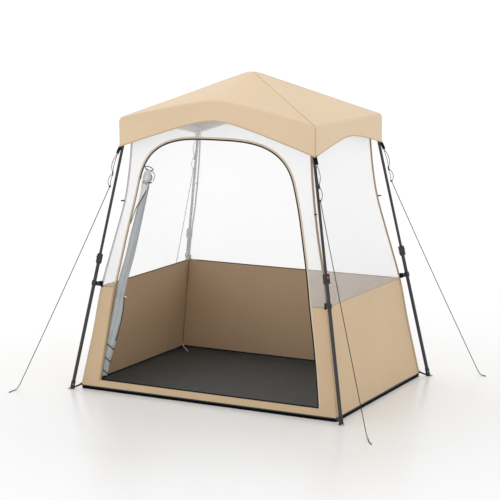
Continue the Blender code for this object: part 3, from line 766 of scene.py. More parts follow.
def cord_material(name, color, fleck):
    """Braided cord: diagonal strands along its length, painted shade in the grooves between them, and a few
    flecks of a second yarn.
    """
    n = Nodes(name)
    u, v, _ = n.cloth_axes()
    along = n.math("MULTIPLY", u, 900.0)
    turn = n.math("MULTIPLY", v, 1300.0)
    braid = n.math("MULTIPLY", *(n.ridges(n.math(way, along, turn)) for way in ("ADD", "SUBTRACT")))
    spots = n.math("GREATER_THAN", n.noise(n.place(), 260.0, 1.0), 0.62)
    # Painted shade in the grooves between the strands
    base = n.mix(spots, n.mix(n.span(braid, 0.0, 0.7), scaled(color, 0.6), color), fleck)
    normal = n.bump(braid, 0.0004, 0.6)
    inputs = {"Base Color": base, "Roughness": 0.75, "Specular IOR Level": 0.2, "Normal": normal}
    return n.surface(inputs)


def zip_material(name, color):
    """Coil zip: close teeth across the line, glossy beside their matt tape, with a painted highlight on the
    teeth's crowns.
    """
    n = Nodes(name)
    u, v, _ = n.cloth_axes()
    teeth = n.ridges(n.math("MULTIPLY", u, math.pi / ZIP_PITCH))
    on_coil = n.math("LESS_THAN", n.math("ABSOLUTE", v), ZIP_WIDTH * 0.32)
    height = n.math("MULTIPLY", teeth, on_coil)
    # Painted highlight on the teeth's crowns, lighter than the tape and the gaps between them
    base = n.mix(height, scaled(color, 0.7), scaled(color, 1.9))
    rough = n.mix(on_coil, (0.8, 0.8, 0.8, 1.0), (0.38, 0.38, 0.38, 1.0))
    normal = n.bump(height, 0.0005, 0.8)
    inputs = {"Base Color": base, "Roughness": rough, "Specular IOR Level": 0.2, "Normal": normal}
    return n.surface(inputs)


SAND = srgb(226, 201, 168)
TAN = srgb(211, 184, 149)
CANOPY_CLOTH = cloth_material("canopy_cloth", SAND)
CANOPY_LINING = cloth_material("canopy_lining", srgb(192, 192, 190), roughness=0.55, sheen=0.0)
# The lining of the front and back valances, painted darker as shade under the canopy
PAINTED_SHADE_LINING = cloth_material("lining_painted_shade", srgb(158, 154, 142), roughness=0.6, sheen=0.0)
WALL_CLOTH = cloth_material("wall_cloth", TAN, soil=0.08)
# The inside of the cloth walls, painted a little darker than the outside as shade inside the tent
WALL_INSIDE_PAINTED_SHADE = cloth_material("wall_inside_painted_shade", srgb(203, 173, 141), roughness=0.6, sheen=0.0)
FLOOR_CLOTH = cloth_material("floor_sheet", srgb(74, 77, 78), 0.0011, 0.52, 0.0025, sheen=0.0)
SCREEN = screen_material("screen_mesh", srgb(249, 250, 250))
# The tightly rolled part of the door, painted darker than its loose layer as shade between the layers
ROLL_SCREEN_PAINTED_SHADE = cloth_material("roll_screen_painted_shade", srgb(180, 184, 185), SCREEN_PITCH, 0.6, 0.002)
LOOSE_SCREEN = cloth_material("loose_screen", srgb(226, 229, 228), SCREEN_PITCH, 0.6, 0.002)
HEM_TAPE = tape_material("hem_tape", srgb(205, 178, 145))
SEAM_TAPE = tape_material("seam_tape", srgb(200, 173, 140))
DOOR_TAPE = tape_material("door_tape", srgb(213, 195, 170), DOOR_TAPE_WIDTH, srgb(230, 216, 194))
EDGE_TAPE = tape_material("edge_tape", srgb(146, 124, 92))
# The door's tape low on its left side, beside the roll, painted darker as shade
PAINTED_SHADE_TAPE = tape_material("painted_shade_tape", srgb(176, 152, 118))
CORNER_TAPE = tape_material("corner_tape", srgb(160, 136, 108), CORNER_TAPE_WIDTH, srgb(196, 174, 146))
# Inside tapes at the corners of the cloth walls: a seam tape, darkened partly as painted corner shade
INNER_TAPE = tape_material("inner_tape", srgb(164, 138, 110), LINING_WIDTH, srgb(140, 116, 90))
CORNER_LINING = tape_material("corner_lining", srgb(200, 200, 198), CORNER_TAPE_WIDTH, srgb(225, 225, 224))
TOP_TAPE = tape_material("top_tape", srgb(190, 164, 130))
# A dark strip inside the top of the cloth walls: the seam's line, darkened as painted shade
SEAM_LINE_PAINTED_SHADE = tape_material("seam_line_painted_shade", srgb(78, 63, 47))
WEBBING = tape_material("webbing", srgb(14, 14, 15), WEBBING_WIDTH, srgb(34, 34, 36), shine=0.15, sheen=0.0)
# Near-black tape for the base binding and foot straps; at the base it is also painted shade, standing in for
# contact shadow
BLACK_TAPE = tape_material("black_tape", srgb(5, 5, 5), BASE_BINDING, srgb(10, 10, 10), shine=0.08, sheen=0.0)
ZIP = zip_material("zip_coil", srgb(14, 11, 9))
CORD = cord_material("cord", srgb(40, 38, 36), srgb(84, 82, 80))
DARK_CORD = cord_material("dark_cord", srgb(46, 46, 47), srgb(84, 84, 84))
PALE_CORD = cord_material("pale_cord", srgb(186, 188, 188), srgb(214, 214, 212))
CREAM_CORD = cord_material("cream_cord", srgb(232, 227, 217), srgb(246, 243, 237))
STEEL = painted_steel_material("frame_steel", srgb(46, 46, 47))
PLASTIC = plastic_material("fitting_plastic", srgb(30, 30, 31))
PAD_PLASTIC = plastic_material("pad_plastic", srgb(182, 184, 184), roughness=0.45)
TOGGLE_PLASTIC = plastic_material("toggle_plastic", srgb(214, 196, 166), roughness=0.42)
METAL = bare_metal_material("pin_steel", srgb(196, 197, 200))
RED = plastic_material("button_red", srgb(206, 60, 62), roughness=0.4)


# Canopy


def smooth_arch(distance, half_span, rise):
    """Height above the ends of an arch with a rounded top and nearly straight sides."""
    full = math.hypot(half_span, ARCH_TOP_RADIUS) - ARCH_TOP_RADIUS
    here = math.hypot(distance, ARCH_TOP_RADIUS) - ARCH_TOP_RADIUS
    return rise * (1.0 - here / full)


def eased(count, power=1.6):
    """Shares from 0 to 1, closer together near 1."""
    return [1 - (1 - n / count) ** power for n in range(count + 1)]


def corner_places(corner):
    """Places along the canopy's outline round one corner, from the middle of its front or back side.

    Each is (x, y, which side, distance from that side's middle, distance to the corner)."""
    sx, sy = CORNER_SIGNS[corner]
    r = CANOPY_CORNER_RADIUS
    front, side = [], []
    for share in eased(OUTLINE_STEPS):
        x, y = share * (HALF_X - r), share * (HALF_Y - r)
        front.append((sx * x, sy * HALF_Y, "front", x, HALF_X - x))
        side.append((sx * HALF_X, sy * y, "side", y, HALF_Y - y))
    arc = []
    for step in range(1, 4):
        angle = math.pi / 2 * step / 4
        x = HALF_X - r + r * math.sin(angle)
        y = HALF_Y - r + r * math.cos(angle)
        arc.append((sx * x, sy * y, "front" if step < 2 else "side", HALF_X if step < 2 else HALF_Y, 0.0))
    return front + arc + side[::-1]


def canopy_heights(which, distance):
    if which == "front":
        return (
            FOLD_CORNER + smooth_arch(distance, HALF_X, FRONT_FOLD_RISE),
            HEM_CORNER + smooth_arch(distance, HALF_X, FRONT_HEM_RISE),
        )
    return FOLD_CORNER, HEM_CORNER + smooth_arch(distance, HALF_Y, SIDE_HEM_RISE)


def rounded_peak(height):
    """The roof's lines aim just above the peak, and the cap under it rounds them off."""
    return APEX - PEAK_SOFTNESS * math.log1p(math.exp((APEX - height) / PEAK_SOFTNESS))


def canopy_column(place):
    """Points from the hem up over the fold to the peak, each with its part of the canopy."""
    x, y, which, distance, _ = place
    fold, hem = canopy_heights(which, distance)
    half = HALF_X if which == "front" else HALF_Y
    slack = 1 - min(1.0, distance / half)
    base = Vector((x, y, 0))
    out = base.normalized()
    column = []
    low = hem + HEM_BINDING
    for height in (hem, hem + HEM_BINDING * 0.5, low):
        column.append((base + UP * height, "binding"))
    top = fold - FOLD_SETBACK
    for step in range(1, VALANCE_STEPS + 1):
        share = step / VALANCE_STEPS
        column.append((base + UP * (low + (top - low) * share), "valance"))
    edge = base + UP * fold
    peak = Vector((0, 0, APEX + PEAK_LIFT))
    inner = edge + (peak - edge).normalized() * FOLD_SETBACK
    outer = base + UP * top
    for step in range(1, FOLD_STEPS + 1):
        t = step / FOLD_STEPS
        column.append((outer * (1 - t) ** 2 + edge * (2 * t * (1 - t)) + inner * t**2, "fold"))
    for share in [(step / ROOF_STEPS) ** 0.9 for step in range(1, ROOF_STEPS)] + list(PEAK_RINGS):
        here = inner.lerp(peak, share) - UP * (ROOF_SAG * math.sin(math.pi * share) * slack**0.7)
        here.z = rounded_peak(here.z)
        column.append((here, "roof" if share < PEAK_SHARE else "peak"))
    result = []
    for p, part in column:
        ripple = wavy(p.x * 3.1, p.y * 3.1, p.z * 2.3) * CLOTH_RIPPLE
        if part in ("valance", "binding"):
            ripple += wavy(p.x * 7.0, p.y * 7.0, 4.0) * VALANCE_RIPPLE
            result.append((p - out * (0.0005 - ripple), part))
        else:
            result.append((p - UP * (0.0015 - ripple) * min(1.0, 12 * p.xy.length), part))
    return result


def build_canopy():
    """One continuous surface, split into pieces that follow the ribs, the legs and the hub."""
    order = ("front_right", "back_right", "back_left", "front_left")
    columns, owners = [], []
    for corner in order:
        places = corner_places(corner)
        if CORNER_SIGNS[corner] in ((-1, -1), (1, 1)):
            places = places[::-1]
        for place in places[:-1]:
            columns.append(canopy_column(place))
            owners.append((corner, place[2], place[4]))
    rows, count = len(columns[0]), len(columns)
    points = [columns[c][r][0] for r in range(rows) for c in range(count)]
    peak = len(points)
    points.append(Vector((0, 0, APEX)))
    faces, tags = [], []
    for r in range(rows):
        for c in range(count):
            d = (c + 1) % count
            part = columns[c][min(r + 1, rows - 1)][1]
            if r + 1 < rows:
                face = [r * count + c, r * count + d, (r + 1) * count + d, (r + 1) * count + c]
            else:
                face = [r * count + c, r * count + d, peak]
            corner, which, to_corner = owners[c]
            faces.append(face)
            tags.append((corner, which, part, to_corner, columns[c][r][0]))
    normals = [Vector(n) for n in vertex_normals(points, faces)]
    groups = {}
    for face, (corner, which, part, to_corner, place) in zip(faces, tags):
        below_fold = FOLD_CORNER - place.z
        inwards = math.hypot(HALF_X, HALF_Y) - math.hypot(place.x, place.y)
        near = to_corner < BRIDGE_REACH and below_fold < BRIDGE_REACH and inwards < BRIDGE_REACH * 1.5
        if part == "peak":
            key = ("peak", "")
        elif near and part != "binding":
            key = ("patch", corner)
        elif part in ("roof", "fold"):
            key = ("roof", corner)
        else:
            key = ("valance_" + which, corner)
        groups.setdefault(key, []).append((face, part))
    for (kind, corner), members in groups.items():
        build_canopy_piece(kind, corner, members, points, normals)


def build_canopy_piece(kind, corner, members, points, normals):
    piece = Piece(f"canopy_{kind}_{corner}".rstrip("_"))
    faces = [face for face, _ in members]
    few, local, few_normals = used_only(points, faces, normals)
    # The front and back valances get the darker lining: painted shade
    lining = PAINTED_SHADE_LINING if kind == "valance_front" else CANOPY_LINING
    add_shell(piece, few, local, few_normals, CANOPY_THICKNESS, CANOPY_CLOTH, lining, keep_normals=True)
    if kind.startswith("valance"):
        add_hem_binding(piece, corner, kind.split("_")[1])
    if kind == "peak":
        piece.build("hub", ["canopy"])
        return
    if kind == "roof":
        thing = piece.build(f"rib_{corner}", ["canopy"])
        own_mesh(thing)
    elif kind == "patch":
        thing = piece.build(None, ["canopy"])
        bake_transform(thing)
    else:
        thing = piece.build(f"leg_{corner}", ["canopy"])
        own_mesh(thing)


def add_hem_binding(piece, corner, which):
    """A folded tape over the hem of one half of a side."""
    sx, sy = CORNER_SIGNS[corner]
    half = HALF_X if which == "front" else HALF_Y
    path = []
    for share in eased(HEM_STEPS, 1.2):
        distance = share * (half - 0.002)
        place = (sx * distance, sy * HALF_Y) if which == "front" else (sx * HALF_X, sy * distance)
        column = canopy_column((*place, which, distance, half - distance))
        path.append(column[1][0] - Vector((*place, 0)).normalized() * (CANOPY_THICKNESS / 2))
    piece.strap(path, HEM_TAPE, HEM_BINDING, HEM_THICKNESS, UP)


def build_canopy_seams():
    """The felled seam along each ridge and down each corner of the valance."""
    for corner, (sx, sy) in CORNER_SIGNS.items():
        lift = CANOPY_CORNER_RADIUS * (1 - math.sqrt(0.5))
        column = canopy_column((sx * (HALF_X - lift), sy * (HALF_Y - lift), "front", HALF_X, 0.0))
        tangent = Vector((sx * HALF_X, sy * HALF_Y, 0)).normalized().cross(UP)
        fold = [p for p, part in column if part == "fold"]
        half = len(fold) // 2
        ridge = fold[half:] + [p for p, part in column if part in ("roof", "peak")]
        ridge.append(Vector((0, 0, APEX - 0.0015)))
        fall = [p for p, part in column if part in ("binding", "valance")] + fold[:half]
        for name, line, body in (("ridge", ridge, f"rib_{corner}"), ("corner", fall, f"leg_{corner}")):
            piece = Piece(f"canopy_{name}_seam_{corner}")
            piece.strap(line, SEAM_TAPE, RIDGE_SEAM_WIDTH, RIDGE_SEAM_THICKNESS, tangent)
            piece.build(body)


# Body


def profile(height):
    """The walls' half width and half depth at a height, a smooth curve through the CAD walls' levels."""
    levels = WALL_LEVELS
    height = min(max(height, levels[0][0]), levels[-1][0])
    for n in range(len(levels) - 1):
        if height <= levels[n + 1][0]:
            break
    low, high = levels[n], levels[n + 1]
    span = high[0] - low[0]
    t = (height - low[0]) / span
    out = []
    for k in (1, 2):
        here = (high[k] - low[k]) / span
        before = (low[k] - levels[n - 1][k]) / (low[0] - levels[n - 1][0]) if n else here
        after = (levels[n + 2][k] - high[k]) / (levels[n + 2][0] - high[0]) if n + 2 < len(levels) else here
        m0, m1 = (before + here) / 2 * span, (after + here) / 2 * span
        out.append(
            (2 * t**3 - 3 * t**2 + 1) * low[k] + (t**3 - 2 * t**2 + t) * m0
            + (3 * t**2 - 2 * t**3) * high[k] + (t**3 - t**2) * m1
        )
    return out


def door_middle(height):
    return DOOR_MIDDLE - DOOR_MIDDLE_LEAN * (height - DOOR_SILL)


def door_half_width(height, offset=0.0):
    rise = height - DOOR_SILL
    return DOOR_HALF + offset - DOOR_SIDE_LEAN * rise - DOOR_SIDE_CURVE * rise * rise


def door_edge(angle, offset=0.0):
    """(distance from the middle, z) on the door's rounded top: angle 0 at its side, a quarter turn on top."""
    rise = DOOR_TOP + offset - DOOR_ARCH_START
    height = DOOR_ARCH_START + rise * math.sin(angle) ** (2.0 / DOOR_ARCH_POWER)
    return max(0.0, door_half_width(height, offset) * math.cos(angle) ** (2.0 / DOOR_ARCH_POWER)), height


def on_front(x, z, proud=0.0):
    """A place on the front wall, proud of it by a distance."""
    return Vector((x, -profile(z)[1] - proud, z))


def billow(along, height, side):
    """How far a wall's slow waves stand off its flat shape."""
    return WALL_BILLOW * wavy(along * 2.2, height * 2.2, side * 3.7)


def side_rows(side, heights, top_arch=0.0):
    """Rows of points across one plain wall. Sides run anticlockwise: 1 right, 2 back, 3 left."""
    rows = []
    for height in heights:
        half_x, half_y = profile(height)
        row = []
        for n in range(WALL_STEPS + 1):
            share = 2 * n / WALL_STEPS - 1
            half = half_x if side == 2 else half_y
            along = share * half
            edge = 1 - share**4
            off = billow(along, height, side) * edge - WALL_DRAW_IN * edge
            z = height
            if top_arch and height > WALL_TOP - 1e-6:
                z = height + smooth_arch(abs(along), half, top_arch)
            if side == 1:
                row.append(Vector((half_x + off, along, z)))
            elif side == 2:
                row.append(Vector((-along, half_y + off, z)))
            else:
                row.append(Vector((-half_x - off, -along, z)))
        rows.append(row)
    return rows


def add_wall(piece, rows):
    points, faces, _, _ = grid(rows)
    # The inside faces get the darker copy of the wall cloth: painted shade
    add_shell(piece, points, faces, vertex_normals(points, faces), SHEET_THICKNESS, WALL_CLOTH, WALL_INSIDE_PAINTED_SHADE)


def build_lower_walls():
    piece = Piece("lower_walls_cloth")
    heights = spaced(WALL_FOOT, TAN_TOP, 18)
    for side in (1, 2, 3):
        add_wall(piece, side_rows(side, heights))
    rows = []
    for height in spaced(WALL_FOOT, DOOR_SILL, 3):
        half_x = profile(height)[0]
        rows.append([on_front(half_x * (2 * n / 60 - 1), height) for n in range(61)])
    add_wall(piece, rows)
    for sign in (-1, 1):
        rows = []
        for height in spaced(DOOR_SILL, TAN_TOP, 16):
            inner = door_middle(height) + sign * door_half_width(height, 0.003)
            ends = sorted((sign * profile(height)[0], inner))
            rows.append([on_front(x, height) for x in spaced(*ends, 6)])
        add_wall(piece, rows)
    drop(piece.build("tent_body", ["lower_walls"]))


def drop(thing):
    """The body isn't part of the frame; this gives its piece a mesh of its own."""
    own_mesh(thing)


def build_screen_walls():
    piece = Piece("screen_walls_mesh")
    heights = spaced(TAN_TOP, WALL_TOP, 24)
    for side in (1, 2, 3):
        arch = FRONT_WALL_ARCH if side == 2 else SIDE_WALL_ARCH
        piece.add(grid(side_rows(side, heights, top_arch=arch)), SCREEN)
    right = []
    for height in spaced(TAN_TOP, DOOR_ARCH_START, 16):
        right.append((door_half_width(height, 0.003), height, profile(height)[0], height))
    steps = 24
    for step in range(1, steps + 1):
        share = step / steps
        inner = door_edge(share * math.pi / 2, 0.003)
        if share <= 0.5:
            height = DOOR_ARCH_START + (WALL_TOP - DOOR_ARCH_START) * share * 2
            outer = (profile(height)[0], height)
        else:
            half_x = profile(WALL_TOP)[0]
            x = half_x * (2 - 2 * share)
            outer = (x, WALL_TOP + smooth_arch(x, half_x, FRONT_WALL_ARCH))
        right.append((*inner, *outer))
    for sign in (-1, 1):
        rows = []
        for inner_x, inner_z, outer_x, outer_z in right:
            edge_x = door_middle(inner_z) + sign * inner_x
            across = zip(spaced(edge_x, sign * outer_x, 8), spaced(inner_z, outer_z, 8))
            row = [on_front(x, z) for x, z in across]
            rows.append(row if sign > 0 else row[::-1])
        piece.add(grid(rows), SCREEN)
    drop(piece.build("tent_body", ["screen_walls"]))


def door_path(offset, proud, foot=DOOR_SILL):
    """The door's edge from the left foot over the top to the right foot, and the direction across it."""
    flat = []
    for height in spaced(foot, DOOR_ARCH_START, DOOR_SIDE_STEPS)[:-1]:
        flat.append((door_half_width(height), height))
    for step in range(DOOR_ARCH_STEPS + 1):
        flat.append(door_edge(math.pi / 2 * step / DOOR_ARCH_STEPS))
    flat = [(door_middle(z) - x, z) for x, z in flat[:-1]] + [(door_middle(z) + x, z) for x, z in flat[::-1]]
    path, across = [], []
    for n, (x, z) in enumerate(flat):
        ax, az = flat[max(n - 1, 0)]
        bx, bz = flat[min(n + 1, len(flat) - 1)]
        outwards = Vector((-(bz - az), 0, bx - ax)).normalized()
        px, pz = x + outwards.x * offset, z + outwards.z * offset
        path.append(on_front(px, pz, proud))
        across.append(outwards)
    return path, across


def build_door_edge():
    """Tape round the opening, the zip over its top and down its right side, and a narrow tape on its left.
    The tape's lower left part is painted darker, as shade beside the rolled door.
    """
    piece = Piece("door_binding")
    path, across = door_path(ZIP_WIDTH / 2 + DOOR_TAPE_WIDTH / 2 - 0.001, 0.0002, DOOR_SILL - 0.004)
    start = next(n for n, place in enumerate(path) if place.z > TAN_TOP)
    # Below the cloth wall's top the left tape is the darker copy: painted shade
    for part, material in ((slice(start + 1), PAINTED_SHADE_TAPE), (slice(start, None), DOOR_TAPE)):
        piece.strap(path[part], material, DOOR_TAPE_WIDTH, DOOR_TAPE_THICKNESS, across[part])
    drop(piece.build("tent_body", ["door_trim"]))
    piece = Piece("door_zip")
    path, across = door_path(0.0, 0.0004)
    start = next(n for n, place in enumerate(path) if place.z > ZIP_START)
    piece.strap(path[start:], ZIP, ZIP_WIDTH, ZIP_THICKNESS, across[start:])
    path, across = door_path(0.002, 0.0004)
    start += 1
    piece.strap(path[:start], EDGE_TAPE, EDGE_TAPE_WIDTH, DOOR_TAPE_THICKNESS, across[:start])
    low = DOOR_MIDDLE - DOOR_HALF
    sill = [on_front(x, DOOR_SILL + 0.001, 0.0006) for x in spaced(low, low + 2 * DOOR_HALF, 60)]
    piece.strap(sill, ZIP, ZIP_WIDTH, ZIP_THICKNESS, UP)
    drop(piece.build("tent_body", ["door_trim"]))


def build_wall_tapes():
    """Tapes over the corner seams, linings behind them, and the cloth walls' top binding and dark seam line,
    which is painted shade; the inside corner tapes are darkened partly as painted shade.
    """
    piece = Piece("wall_corner_tapes")
    for sx, sy in CORNER_SIGNS.values():
        outside = CORNER_TAPE_WIDTH if sx > 0 else SLIM_TAPE_WIDTH
        for low, high, width, proud, thickness, material in (
            (WALL_FOOT + 0.002, TAN_TOP, CORNER_TAPE_WIDTH, 0.0012, CORNER_TAPE_THICKNESS, TOP_TAPE),
            (TAN_TOP, WALL_TOP, outside, 0.0012, CORNER_TAPE_THICKNESS, CORNER_TAPE),
            (TAN_TOP, WALL_TOP, LINING_WIDTH, -0.0032, LINING_THICKNESS, CORNER_LINING),
            # Inside corner tape, darker partly as painted shade in the corner
            (WALL_FOOT + 0.026, TAN_TOP, LINING_WIDTH, -0.0042, LINING_THICKNESS, INNER_TAPE),
        ):
            path = []
            for height in spaced(low, high, 40):
                half_x, half_y = profile(height)
                path.append(Vector((sx * (half_x + proud), sy * (half_y - width / 2), height)))
            piece.strap(path, material, width, thickness, DEEP)
    drop(piece.build("tent_body"))
    piece = Piece("wall_top_binding")
    for side in (1, 2, 3):
        row = side_rows(side, [TAN_TOP])[0]
        piece.strap(row, TOP_TAPE, TOP_BINDING, TOP_BINDING_THICKNESS, UP)
        seam = []
        for p in row[1:-1]:
            outwards = Vector((0, p.y, 0)) if side == 2 else Vector((p.x, 0, 0))
            seam.append(p - outwards.normalized() * SEAM_SINK)
        # The dark seam line is painted shade under the binding
        piece.strap(seam, SEAM_LINE_PAINTED_SHADE, SEAM_WIDTH, TOP_BINDING_THICKNESS, UP)
    for sign in (-1, 1):
        inner = door_middle(TAN_TOP) + sign * door_half_width(TAN_TOP, 0.02)
        row = [on_front(x, TAN_TOP, -0.0004) for x in spaced(inner, sign * profile(TAN_TOP)[0], 6)]
        piece.strap(row, TOP_TAPE, TOP_BINDING, TOP_BINDING_THICKNESS, UP)
    drop(piece.build("tent_body"))


def rounded_outline(half_x, half_y, radius, height):
    """A closed level rectangle with round corners, anticlockwise."""
    path = []
    for quarter, (sx, sy) in enumerate(((1, -1), (1, 1), (-1, 1), (-1, -1))):
        start = (quarter - 1) * math.pi / 2
        for angle in spaced(start, start + math.pi / 2, 4):
            x = sx * (half_x - radius) + radius * math.cos(angle)
            y = sy * (half_y - radius) + radius * math.sin(angle)
            path.append(Vector((x, y, height)))
    return path


def build_base_binding():
    """Black binding round the foot of the body, where the walls are sewn to the tray, and its inner seam. Its
    near-black colour is partly painted contact shadow.
    """
    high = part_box("floor_sheet")[1]
    piece = Piece("base_binding")
    for proud, height, width in (
        (0.0008, BASE_BINDING / 2 + 0.001, BASE_BINDING),
        (-0.0125, high.z + 0.001, INNER_BINDING),
    ):
        path = rounded_outline(high.x + proud, high.y + proud, 0.008, height)
        piece.strap(path, BLACK_TAPE, width, BASE_BINDING_THICKNESS, UP, closed=True)
    piece.build("tent_body")


def build_floor():
    """The floor tray: a coated sheet that turns up at its edges, with soft waves where it lies loose."""
    half_x, half_y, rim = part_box("floor_sheet")[1]
    steps_x, steps_y = 72, 52
    rows = []
    for j in range(steps_y + 1):
        row = []
        for i in range(steps_x + 1):
            x = (2 * i / steps_x - 1) * (half_x - TRAY_INSET)
            y = (2 * j / steps_y - 1) * (half_y - TRAY_INSET)
            edge = min(half_x - abs(x), half_y - abs(y))
            calm = min(1.0, max(0.0, (edge - 0.02) / 0.12))
            wave = wavy(x * 3.0, y * 3.0, 0.7) * TRAY_WAVE + wavy(x * 9.0, y * 9.0, 2.0) * TRAY_CREASE
            row.append(Vector((x, y, TRAY_LIFT + (wave + 0.0025) * calm)))
        rows.append(row)
    piece = Piece("floor_tray")
    points, faces, _, _ = grid(rows)
    ring = list(range(steps_x + 1))
    ring += [j * (steps_x + 1) + steps_x for j in range(1, steps_y + 1)]
    ring += [steps_y * (steps_x + 1) + i for i in range(steps_x - 1, -1, -1)]
    ring += [j * (steps_x + 1) for j in range(steps_y - 1, 0, -1)]
    base = [points[v] for v in ring]
    upstand = (
        (0.5, 0.0075), (0.72, 0.012), (0.78, rim - 0.001), (0.90, rim), (1.0, rim - 0.001),
        (1.0, 0.006), (0.8, 0.0012), (0.0, 0.0006),
    )
    strips = []
    for share, height in upstand:
        push = share * TRAY_INSET
        strip = []
        for p in base:
            sx, sy = math.copysign(1, p.x), math.copysign(1, p.y)
            on_x = abs(p.x) > half_x - TRAY_INSET - 1e-6
            on_y = abs(p.y) > half_y - TRAY_INSET - 1e-6
            strip.append(Vector((p.x + (sx * push if on_x else 0), p.y + (sy * push if on_y else 0), height)))
        strips.append(strip)
    count = len(base)
    edge_rows = [ring]
    for strip in strips:
        edge_rows.append(list(range(len(points), len(points) + count)))
        points += strip
    for a, b in zip(edge_rows, edge_rows[1:]):
        for n in range(count):
            m = (n + 1) % count
            faces.append([a[n], b[n], b[m], a[m]])
    faces.append(edge_rows[-1][::-1])
    piece.add((points, faces, None, None), FLOOR_CLOTH)
    piece.build("tent_body", ["floor_sheet"], sharp=60)


# The rolled door


def roll_frame(share):
    """The roll's centre and direction at a share of its length from the sill up."""
    place = share * (len(ROLL_LINE) - 1)
    n = min(int(place), len(ROLL_LINE) - 2)
    here, after = ROLL_LINE[n], ROLL_LINE[n + 1]
    return here.lerp(after, place - n), (after - here).normalized()


def leaned(line):
    """The soft roll leans away from the door's edge, more the higher it is."""
    rise = line[-1].z - line[0].z
    return [p + IN_VIEW * (ROLL_LEAN * ((p.z - line[0].z) / rise) ** 1.2) for p in line]


ROLL_LINE = smooth_line(leaned(line_through("door_roll")), 12)


def roll_shape(share):
    """The roll's radius, extra half width and sideways bulge at a share of its length."""
    for (a, *low), (b, *high) in zip(ROLL_SHAPE, ROLL_SHAPE[1:]):
        if share <= b:
            t = (share - a) / (b - a)
            return [p + (q - p) * t * t * (3 - 2 * t) for p, q in zip(low, high)]
    return ROLL_SHAPE[-1][1:]


def roll_point(share, angle, lift=0.0):
    centre, along = roll_frame(share)
    x = (Vector((1, 0, 0)) - along * along.x).normalized()
    y = along.cross(x)
    folds = 0.0022 * math.sin(3 * angle + 5 * share) + 0.0016 * math.sin(7 * angle - 9 * share)
    folds += 0.0012 * wavy(math.cos(angle) * 2, math.sin(angle) * 2, share * 9)
    radius, spread, bulge = roll_shape(share)
    radius = radius * ROLL_TIGHTNESS + folds + lift
    outwards = x * math.cos(angle) + y * math.sin(angle)
    return centre + outwards * radius + IN_VIEW * (spread * outwards.dot(IN_VIEW) + bulge)


def is_loose(share, angle):
    """Whether a place on the roll is on its loose upper layer, which ends along the cord across its front."""
    if share > CORD_CROSSING[0][0]:
        return True
    (top, right), (low, left) = CORD_CROSSING[0], CORD_CROSSING[-1]
    cord_angle = right + (left - right) * (top - share) / (top - low)
    return share > low and -3.4 < angle - 2 * math.pi < cord_angle


def build_door_roll():
    """The mesh door rolled up beside its opening: long folds, a loose upper layer and the zip round it. The
    rolled part is painted darker than the loose layer, as shade between its layers.
    """
    piece = Piece("door_roll_screen")
    rows = []
    around, length = 40, 90
    for j in range(length + 1):
        share = j / length
        row = []
        for k in range(around):
            angle = 2 * math.pi * k / around
            pinch = sum(math.exp(-((share - at) / 0.012) ** 2) for at in PINCH_SHARES)
            row.append(roll_point(share, angle, -PINCH_DEPTH * pinch))
        rows.append(row)
    points, faces, _, _ = grid(rows, closed=True)
    uvs = []
    for face in faces:
        uv = [(v % around / around * ROLL_GIRTH, v // around / length * ROLL_LENGTH) for v in face]
        if max(a for a, _ in uv) - min(a for a, _ in uv) > ROLL_GIRTH / 2:
            uv = [(a + ROLL_GIRTH if a < ROLL_GIRTH / 2 else a, b) for a, b in uv]
        uvs.append(uv)
    for end, ring in ((0.0, 0), (1.0, length)):
        centre = roll_frame(end)[0]
        points.append(centre)
        hub = len(points) - 1
        for k in range(around):
            a, b = ring * around + k, ring * around + (k + 1) % around
            faces.append([b, a, hub] if end == 0.0 else [a, b, hub])
            uvs.append([(0, 0), (0.01, 0), (0, 0.01)])
    loose = []
    for face in faces:
        share = sum(v // around for v in face) / len(face) / length
        angle = 2 * math.pi * (face[0] % around + 0.5) / around
        loose.append(max(face) < (length + 1) * around and is_loose(share, angle))
    # The rolled part is painted darker than the loose layer: painted shade
    for wanted, material in ((True, LOOSE_SCREEN), (False, ROLL_SCREEN_PAINTED_SHADE)):
        chosen = [n for n, is_flap in enumerate(loose) if is_flap == wanted]
        few, part, _ = used_only(points, [faces[n] for n in chosen], points)
        piece.add((few, part, [uvs[n] for n in chosen], None), material)
    for k in range(3):
        edge = [roll_point(s, 0.9 + 2.1 * k + 0.4 * s, 0.0008) for s in spaced(0.02, 0.98, 60)]
        piece.cord(edge, ROLL_SCREEN_PAINTED_SHADE, 0.0016, 6)
    drop(piece.build("tent_body", ["door_roll"]))
    piece = Piece("door_roll_zip")
    helix = []
    low, high = ZIP_COIL
    for t in spaced(0, 1, 90):
        turned = 2 * math.pi * ZIP_COIL_TURNS * t
        share = low + (high - low) * t + ZIP_COIL_SLANT * (1 - math.cos(turned))
        helix.append(roll_point(share, ZIP_COIL_ANGLE - turned, 0.003))
    edge = [roll_point(share, DARK_EDGE_ANGLE, 0.0015) for share in spaced(*DARK_EDGE_SHARES, 24)]
    piece.cord(helix, DARK_CORD, ZIP_COIL_RADIUS, 8)
    piece.cord(edge, DARK_CORD, DARK_EDGE_RADIUS, 8)
    drop(piece.build("tent_body"))


# Straps, toggles and cords


def corner_frame(corner, height):
    sx, sy = CORNER_SIGNS[corner]
    half_x, half_y = profile(height)
    return Vector((sx * half_x, sy * half_y, height)), Vector((sx * half_x, sy * half_y, 0)).normalized()


